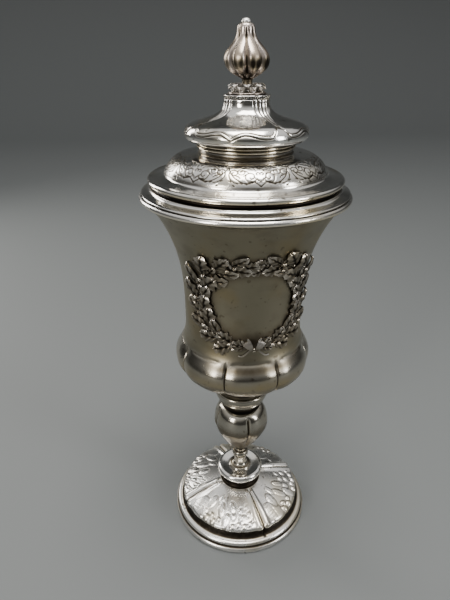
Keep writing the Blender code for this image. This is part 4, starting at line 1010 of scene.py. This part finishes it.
def make_lid():
    """Lid: skirt, rolled rim, engraved band, ringed waist, bracketed dome and reeded neck, hollow inside."""
    skirt = join_runs(
        profile((51.75, 218.95), ((51.75, 219.5), 0.5), ((50.2, 220.3), (47.8, 220.5), (47.5, 221.85), 0.5),
        ((46.6, 222.0), (45.8, 222.4), (45.7, 223.0), 0.5), ((45.7, 223.8), 0.5)),
        arc((46.7, 225.3), 1.75, 1.45, -100.0, 88.0, 12))
    flange = profile(
        (46.7, 226.75), ((45.0, 226.5), (42.4, 227.0), (41.2, 227.5), 0.9),
        ((40.4, 227.7), (40.0, 228.2), (39.9, 228.7), 0.4))
    frieze = cubic((39.9, 228.7), (38.9, 232.8), (34.3, 236.5), (30.6, 236.9), 0.36)
    shoulder = cubic((30.6, 236.9), (28.4, 237.2), (25.4, 237.2), (23.9, 237.4), 0.9)
    waist = join_runs(
        profile((23.9, 237.4), ((22.7, 237.9), (22.4, 238.3), (22.4, 239.0), 0.4), ((22.4, 239.6), 0.3)),
        arc((22.6, 240.5), 1.25, 0.75, -75.0, 75.0, 6), arc((22.7, 242.0), 1.15, 0.72, -75.0, 60.0, 6))
    under = cubic(tuple(waist[-1]), (25.4, 242.9), (28.0, 243.0), (29.0, 244.4), 0.6)
    brackets = profile(
        (29.0, 244.4), ((29.9, 245.6), (29.8, 247.2), (29.2, 248.4), 0.26),
        ((28.7, 249.3), (28.0, 249.9), (27.2, 250.45), 0.28))
    dome = profile(
        (27.2, 250.45), ((23.2, 253.0), (10.9, 252.8), (10.8, 259.9), 0.6),
        ((10.8, 260.6), (10.8, 261.0), (10.7, 261.33), 0.4))
    top = line((10.7, 261.33), (0.0, 261.33), 2.4)
    inside = profile(
        (0.0, 260.2), ((7.2, 260.2), 2.4), ((8.4, 253.0), (22.0, 252.0), (26.6, 247.4), 1.8),
        ((27.6, 245.8), (21.0, 244.0), (20.4, 240.5), 1.4), ((20.6, 238.0), 1.3),
        ((21.4, 235.6), (34.6, 236.6), (38.0, 228.4), 1.6),
        ((42.0, 226.0), (44.6, 226.4), (44.6, 224.6), 1.5), ((44.6, 220.3), 2.0), ((43.9, 219.2), 0.8),
        ((43.9, 212.0), 2.4), ((44.9, 212.0), 0.5), ((44.9, 218.9), 2.3), ((51.6, 218.95), 2.2))
    strokes = frieze_strokes()
    run = np.concatenate([[0.0], np.cumsum(np.hypot(*np.diff(frieze, axis=0).T))])
    cut = shape_size("engraving")
    groove = shape_size("bracket_groove")

    def engraved(radius, height, angle):
        repeat = TURN / BAND_REPEATS
        along = BAND_RADIUS * ((angle - math.radians(LID_CREASE)) % repeat - 0.5 * repeat)
        up = BAND_REACH * np.interp(-radius, -frieze[:, 0], run / run[-1])
        depth = stroke_depth(along, up, strokes, cut)
        # Painted shade in the corner at the foot of the band.
        edge = 0.45 * bump(radius - 39.9, 0.6)
        return {"push": -0.10 * depth, "recess": np.clip(0.95 * depth + edge, 0.0, 1.0)}

    def rolled(radius, height, angle):
        # Painted shade under the roll, and a painted shadow in the gap where the lid meets the cup; the
        # roll's top is worn warm.
        under_roll = smooth(height, 221.6, 222.3) * smooth(224.4 - height, 0.0, 1.0)
        return {"recess": np.maximum(0.95 * under_roll, 0.75 * bump(height - 219.0, 0.45)),
                "wear": 0.6 * bump(height - 224.8, 1.2)}

    def waisted(radius, height, angle):
        # Painted shade in the grooves of the rings and low on the waist.
        rings = bump(height - 241.25, 0.40) + bump(height - 239.5, 0.5)
        low = smooth(23.6 - radius, 0.0, 0.8) * smooth(239.4 - height, 0.0, 1.0)
        return {"recess": np.clip(0.9 * rings + 0.62 * low, 0.0, 1.0),
                "wear": 0.5 * smooth(height, 239.4, 240.4)}

    def tucked(radius, height, angle):
        # Painted shade under the overhang above the waist.
        return {"recess": 0.85 * smooth(height, 242.5, 242.8) * smooth(244.0 - height, 0.0, 0.6)}

    def bracketed(radius, height, angle):
        over = height - BRACKET_HEIGHT - bracket_line(angle)
        outer = bump(over, groove)
        inner = bump(over - 1.35, 0.9 * groove) * smooth(250.4 - height, 0.0, 0.6)
        roll = 0.16 * bump(over - 0.67, 0.9)
        fade = smooth(250.4 - height, 0.0, 0.3)
        return {"push": fade * (roll - 0.26 * outer - 0.20 * inner),
                "recess": np.maximum(0.97 * outer, 0.90 * inner)}

    def reeded(radius, height, angle):
        over = height - BRACKET_HEIGHT - bracket_line(angle)
        side = crease_distance(radius, angle, PANELS, REED_TURN)
        climb = smooth(height, 250.5, 259.5)
        half = 1.6 + 1.9 * climb
        within = smooth(1.1 * half - np.abs(side), 0.0, 0.4)
        wave = np.cos(TURN * 1.5 * side / half)
        fan = smooth(height, 250.4, 251.6) * within
        outer = bump(over, 1.6 * groove) * smooth(252.6 - height, 0.0, 1.6)
        # Painted shade in the valleys between the reeds.
        push = fan * (0.13 * wave - 0.10) - 0.16 * outer
        return {"push": push, "recess": np.maximum(0.78 * fan * smooth(-wave, 0.35, 0.95), 0.75 * outer)}

    # The lid's inside is darkened with painted shade.
    stretches = ((inside, 80, even(recess=0.3)), (skirt, 240, rolled), (flange, 240, even()),
                 (frieze[1:-1], 960, engraved), (shoulder, 240, even()), (waist, 240, waisted),
                 (under, 240, tucked), (brackets[1:], 720, bracketed), (dome[1:], 360, reeded),
                 (top[1:], 120, even()))
    material = plate_material("Lid plate", finish_value("silver"), 1.1 * finish_value("polish"))
    place_piece(turned("lid_shell", stretches, material, LID_CREASE, 80.0), "lid")


def make_disk():
    """Thin disk with its milled edge."""
    cuts = bpy.context.scene.goblet_shape.milling_cuts
    depth = shape_size("milling")
    outside = profile(
        (0.0, 261.67), ((10.1, 261.67), 2.0), ((10.6, 261.67), (10.8, 261.7), (10.85, 261.85), 0.15),
        ((10.85, 262.6), 0.2), ((11.15, 262.7), (11.15, 263.0), (10.9, 263.12), 0.12), ((0.0, 263.13), 2.0))

    def milled(radius, height, angle):
        cut = (0.5 - 0.5 * np.cos(cuts * angle)) ** 1.3
        cut = cut * smooth(radius, 10.1, 10.5) * smooth(262.8 - height, 0.0, 0.2)
        # Painted shade in the cuts and under the finial's foot.
        return {"push": -depth * cut, "recess": np.maximum(0.98 * cut, 0.7 * smooth(9.6 - radius, 0.0, 0.6))}

    material = plate_material("Disk plate", finish_value("silver"), finish_value("polish"))
    place_piece(turned("milled_disk", ((outside, 6 * cuts, milled),), material), "finial_disk")


def make_finial():
    """Cast finial: a closed bud of eight lobes, its button and two tiers of curled leaves."""
    deep = shape_size("bud_crease")
    material = plate_material("Finial plate", finish_value("bronzed"), 2.0 * finish_value("polish"),
                              satin=(finish_value("button"), finish_value("satin_polish")))
    base = 263.45
    neck = 269.35
    core = profile(
        (0.0, base), ((8.7, base), 1.2), ((8.9, 263.7), (8.8, 264.0), (8.3, 264.1), 0.25),
        ((6.0, 264.2), (3.4, 264.7), (2.6, 266.7), 0.4), ((2.3, 267.7), (2.3, 268.5), (2.45, neck), 0.3))
    bud = profile(
        (2.45, neck), ((5.2, 271.0), (10.5, 272.4), (10.5, 277.4), 0.3),
        ((10.5, 281.9), (5.0, 283.6), (4.25, 288.2), 0.3),
        ((4.1, 290.6), (3.7, 291.5), (2.2, 291.75), 0.25))
    button = cubic((1.9, 291.8), (2.3, 292.6), (1.7, 293.64), (0.0, 293.64), 0.2)
    button[-1, 0] = 0.0

    def lobed(radius, height, angle):
        side = np.abs(crease_distance(radius, angle, BUD_LOBES, BUD_CREASE))
        strength = smooth(height, 269.6, 271.0) * smooth(291.6 - height, 0.0, 2.0)
        narrow = 0.30 + 0.70 * smooth(286.0 - height, 0.0, 7.0)
        valley = bump(side, 2.0 * narrow) * strength * narrow
        belly = bump(side, 0.22 * radius + 0.6) * smooth(285.0 - height, 0.0, 6.0) * strength
        hollow = bump(height - 287.4, 3.6) * bump(side, 1.25)
        # Painted shade: a dark spot on the belly of each lobe, darker on the right.
        lit = 0.5 + 0.5 * np.sin(angle + math.radians(20.0)) * smooth(np.cos(angle), -0.4, 0.4)
        spot = bump(height - 275.8, 5.2) * bump(side - 2.7, 3.2) * (0.50 + 0.80 * lit)
        # Painted shade in the creases and hollows of the bud and under the button.
        crease = bump(side, 1.05 * narrow) * strength * smooth(283.0 - height, 0.0, 5.0)
        thin = 0.55 * bump(side, 0.6) * strength
        top = 0.6 * bump(height - 291.7, 0.4)
        dark = np.maximum.reduce([crease, thin, 0.80 * hollow, 0.92 * np.clip(spot, 0.0, 1.0), top])
        return {"push": -deep * (0.62 * valley + 0.28 * belly) - 0.6 * hollow, "recess": dark,
                "wear": 0.35 * smooth(side, 1.2, 2.6)}

    def dark_floor(radius, height, angle):
        # Painted shade on the core under the leaves.
        return {"recess": 0.60 * smooth(height, 263.9, 264.2)}

    stretches = ((core, 64, dark_floor), (bud[1:], 256, lobed), (button, 64, even(satin=1.0)))
    points, rows, masks = turned_rows(stretches, BUD_CREASE)
    points[:, 0] -= np.maximum(0.0, points[:, 2] - neck) * math.tan(math.radians(BUD_LEAN))
    body = make_piece("bud_body", points, rows_faces(rows), masks, material)
    meshes = [body.data]
    bpy.data.objects.remove(body)
    scatter = leaves_tree()
    along = np.linspace(0.0, 1.0, 17)
    tiers = (("short", 7.0, 264.0, 2.4, 1.9, 1.3, 0.5), ("tall", 4.7, 264.2, 3.4, 2.35, 2.1, 0.0))
    for name, tier, height, tall, wide, lean_out, shift in tiers:
        turn = math.pi * 0.80 * along ** 1.4
        forward = tall * np.sin(np.minimum(turn, 0.5 * math.pi)) - 0.9 * smooth(along, 0.72, 1.0)
        lift = lean_out * (1.0 - np.cos(turn))
        point = 1.0 if name == "short" else 0.45
        widths = wide * np.maximum(0.62 + 0.38 * np.sin(math.pi * along) - 0.95 * point * along ** 4, 0.08)
        # The curled leaves carry a little painted shade, and take the lighter button colour as a painted
        # highlight.
        curled = blade(np.column_stack([forward, lift]), widths, 0.38, 0.55, 0.5, 11, 0.24)
        leaf = leaf_object(name, *curled, 0.8)
        angles = [math.radians(BUD_CREASE) + TURN * (place + shift) / BUD_LOBES for place in range(BUD_LOBES)]
        places = [(tier * math.sin(angle), -tier * math.cos(angle), height) for angle in angles]
        turns = [(0.0, 0.0, angle) for angle in angles]
        meshes.append(set_leaves(scatter, leaf, places, turns, np.ones((BUD_LOBES, 3)), material))
    piece = merge_meshes("finial_bud", meshes, material)
    place_piece(piece, "finial")


# Softboxes: name, place, width, height, power and tint
LIGHT_AIM = (0.0, 0.0, 0.13)
SOFT_LIGHTS = (("overhead", (0.0, -0.12, 1.15), 0.60, 0.60, 15.0, (1.0, 0.985, 0.96)),
               ("left window", (-0.85, -0.80, 0.55), 0.30, 0.55, 8.0, (1.0, 0.98, 0.95)),
               ("right window", (0.85, -0.62, 0.50), 0.24, 0.55, 5.5, (0.98, 0.99, 1.0)),
               ("rim", (-0.55, 0.60, 0.45), 0.20, 0.50, 3.2, (1.0, 0.98, 0.95)))
SKY_LOW = (0.055, 0.055, 0.053)
SKY_HIGH = (0.80, 0.805, 0.81)


def soft_light(name, place, width, height, power, tint):
    """A softbox at a place, facing the goblet."""
    data = bpy.data.lights.new(name, "AREA")
    data.shape = "RECTANGLE"
    data.size, data.size_y = width, height
    data.energy = power
    data.color = tint
    light = bpy.data.objects.new(name, data)
    light.location = place
    way = np.subtract(LIGHT_AIM, place)
    pitch = math.atan2(math.hypot(way[0], way[1]), -way[2])
    light.rotation_euler = (pitch, 0.0, math.atan2(-way[0], way[1]))
    bpy.context.scene.collection.objects.link(light)


def make_stage():
    """Pale floor that sweeps up behind, soft studio light and the camera at the photograph's angle."""
    half, back, bend = 3.0, 1.6, 0.9
    turns = np.radians(np.linspace(0.0, 90.0, 13))
    sweep = [(back + bend * math.sin(turn), bend * (1.0 - math.cos(turn))) for turn in turns]
    sweep = [(-half, 0.0), *sweep, (back + bend, half)]
    points = [(side * half, way, height) for way, height in sweep for side in (-1, 1)]
    faces = [(2 * row, 2 * row + 1, 2 * row + 3, 2 * row + 2) for row in range(len(sweep) - 1)]
    mesh = bpy.data.meshes.new("floor")
    mesh.from_pydata(points, [], faces)
    mesh.shade_smooth()
    floor = bpy.data.objects.new("floor", mesh)
    material = bpy.data.materials.new("Floor")
    material.use_nodes = True
    shader = material.node_tree.nodes["Principled BSDF"]
    shader.inputs["Base Color"].default_value = (*finish_value("floor"), 1.0)
    shader.inputs["Roughness"].default_value = 0.7
    mesh.materials.append(material)
    bpy.context.scene.collection.objects.link(floor)
    world = bpy.data.worlds.new("Studio")
    bpy.context.scene.world = world
    world.use_nodes = True
    tree = world.node_tree
    way = tree.nodes.new("ShaderNodeTexCoord").outputs["Generated"]
    parts = tree.nodes.new("ShaderNodeSeparateXYZ")
    tree.links.new(way, parts.inputs[0])
    sky = mix_colours(tree, ramp(tree, parts.outputs[2], 0.12, 0.85), SKY_LOW, SKY_HIGH)
    tree.links.new(sky, tree.nodes["Background"].inputs["Color"])
    for light in SOFT_LIGHTS:
        soft_light(*light)
    camera = bpy.data.objects.new("camera", bpy.data.cameras.new("camera"))
    camera.data.lens = CAMERA_LENS
    camera.data.sensor_width = SENSOR
    camera.data.clip_start = 0.005
    camera.location = CAMERA_PLACE
    camera.rotation_euler = (math.radians(90.0 - CAMERA_PITCH), 0.0, math.radians(CAMERA_YAW))
    bpy.context.scene.collection.objects.link(camera)
    bpy.context.scene.camera = camera


class GOBLET_OT_stage(bpy.types.Operator):
    """Make the floor, the light and the camera"""

    bl_idname = "goblet.stage"
    bl_label = "Stage"

    def execute(self, context):
        make_stage()
        return {"FINISHED"}


class GOBLET_OT_foot(bpy.types.Operator):
    """Make the chased foot"""

    bl_idname = "goblet.foot"
    bl_label = "Foot"

    def execute(self, context):
        make_foot()
        return {"FINISHED"}


class GOBLET_OT_boss(bpy.types.Operator):
    """Make the boss on the foot"""

    bl_idname = "goblet.boss"
    bl_label = "Boss"

    def execute(self, context):
        make_boss()
        return {"FINISHED"}


class GOBLET_OT_stem(bpy.types.Operator):
    """Make the baluster stem"""

    bl_idname = "goblet.stem"
    bl_label = "Stem"

    def execute(self, context):
        make_stem()
        return {"FINISHED"}


class GOBLET_OT_bowl(bpy.types.Operator):
    """Make the bowl"""

    bl_idname = "goblet.bowl"
    bl_label = "Bowl"

    def execute(self, context):
        make_bowl()
        return {"FINISHED"}


class GOBLET_OT_wreath(bpy.types.Operator):
    """Make the wreath of leaves and its bow"""

    bl_idname = "goblet.wreath"
    bl_label = "Wreath"

    def execute(self, context):
        make_wreath()
        return {"FINISHED"}


class GOBLET_OT_lid(bpy.types.Operator):
    """Make the engraved lid"""

    bl_idname = "goblet.lid"
    bl_label = "Lid"

    def execute(self, context):
        make_lid()
        return {"FINISHED"}


class GOBLET_OT_disk(bpy.types.Operator):
    """Make the milled disk"""

    bl_idname = "goblet.disk"
    bl_label = "Disk"

    def execute(self, context):
        make_disk()
        return {"FINISHED"}


class GOBLET_OT_finial(bpy.types.Operator):
    """Make the bud and its leaves"""

    bl_idname = "goblet.finial"
    bl_label = "Finial"

    def execute(self, context):
        make_finial()
        return {"FINISHED"}


OPERATORS = (GOBLET_OT_stage, GOBLET_OT_foot, GOBLET_OT_boss, GOBLET_OT_stem, GOBLET_OT_bowl,
             GOBLET_OT_wreath, GOBLET_OT_lid, GOBLET_OT_disk, GOBLET_OT_finial)


class GOBLET_PT_panel(bpy.types.Panel):
    """Lists the goblet's sizes, finishes and operators."""

    bl_label = "Goblet"
    bl_idname = "GOBLET_PT_panel"
    bl_space_type = "VIEW_3D"
    bl_region_type = "UI"
    bl_category = "Goblet"

    def draw(self, context):
        for group in (context.scene.goblet_shape, context.scene.goblet_finish):
            for name in group.bl_rna.properties.keys():
                if name not in ("rna_type", "name"):
                    self.layout.prop(group, name)
        for piece in OPERATORS:
            self.layout.operator(piece.bl_idname)


CLASSES = (GobletShape, GobletFinish, *OPERATORS, GOBLET_PT_panel)


def register():
    for item in CLASSES:
        bpy.utils.register_class(item)
    bpy.types.Scene.goblet_shape = PointerProperty(type=GobletShape)
    bpy.types.Scene.goblet_finish = PointerProperty(type=GobletFinish)


def unregister():
    del bpy.types.Scene.goblet_finish
    del bpy.types.Scene.goblet_shape
    for item in reversed(CLASSES):
        bpy.utils.unregister_class(item)


def main():
    """Make every piece."""
    register()
    bpy.ops.goblet.stage()
    bpy.ops.goblet.foot()
    bpy.ops.goblet.boss()
    bpy.ops.goblet.stem()
    bpy.ops.goblet.bowl()
    bpy.ops.goblet.wreath()
    bpy.ops.goblet.lid()
    bpy.ops.goblet.disk()
    bpy.ops.goblet.finial()


if __name__ == "__main__":
    main()
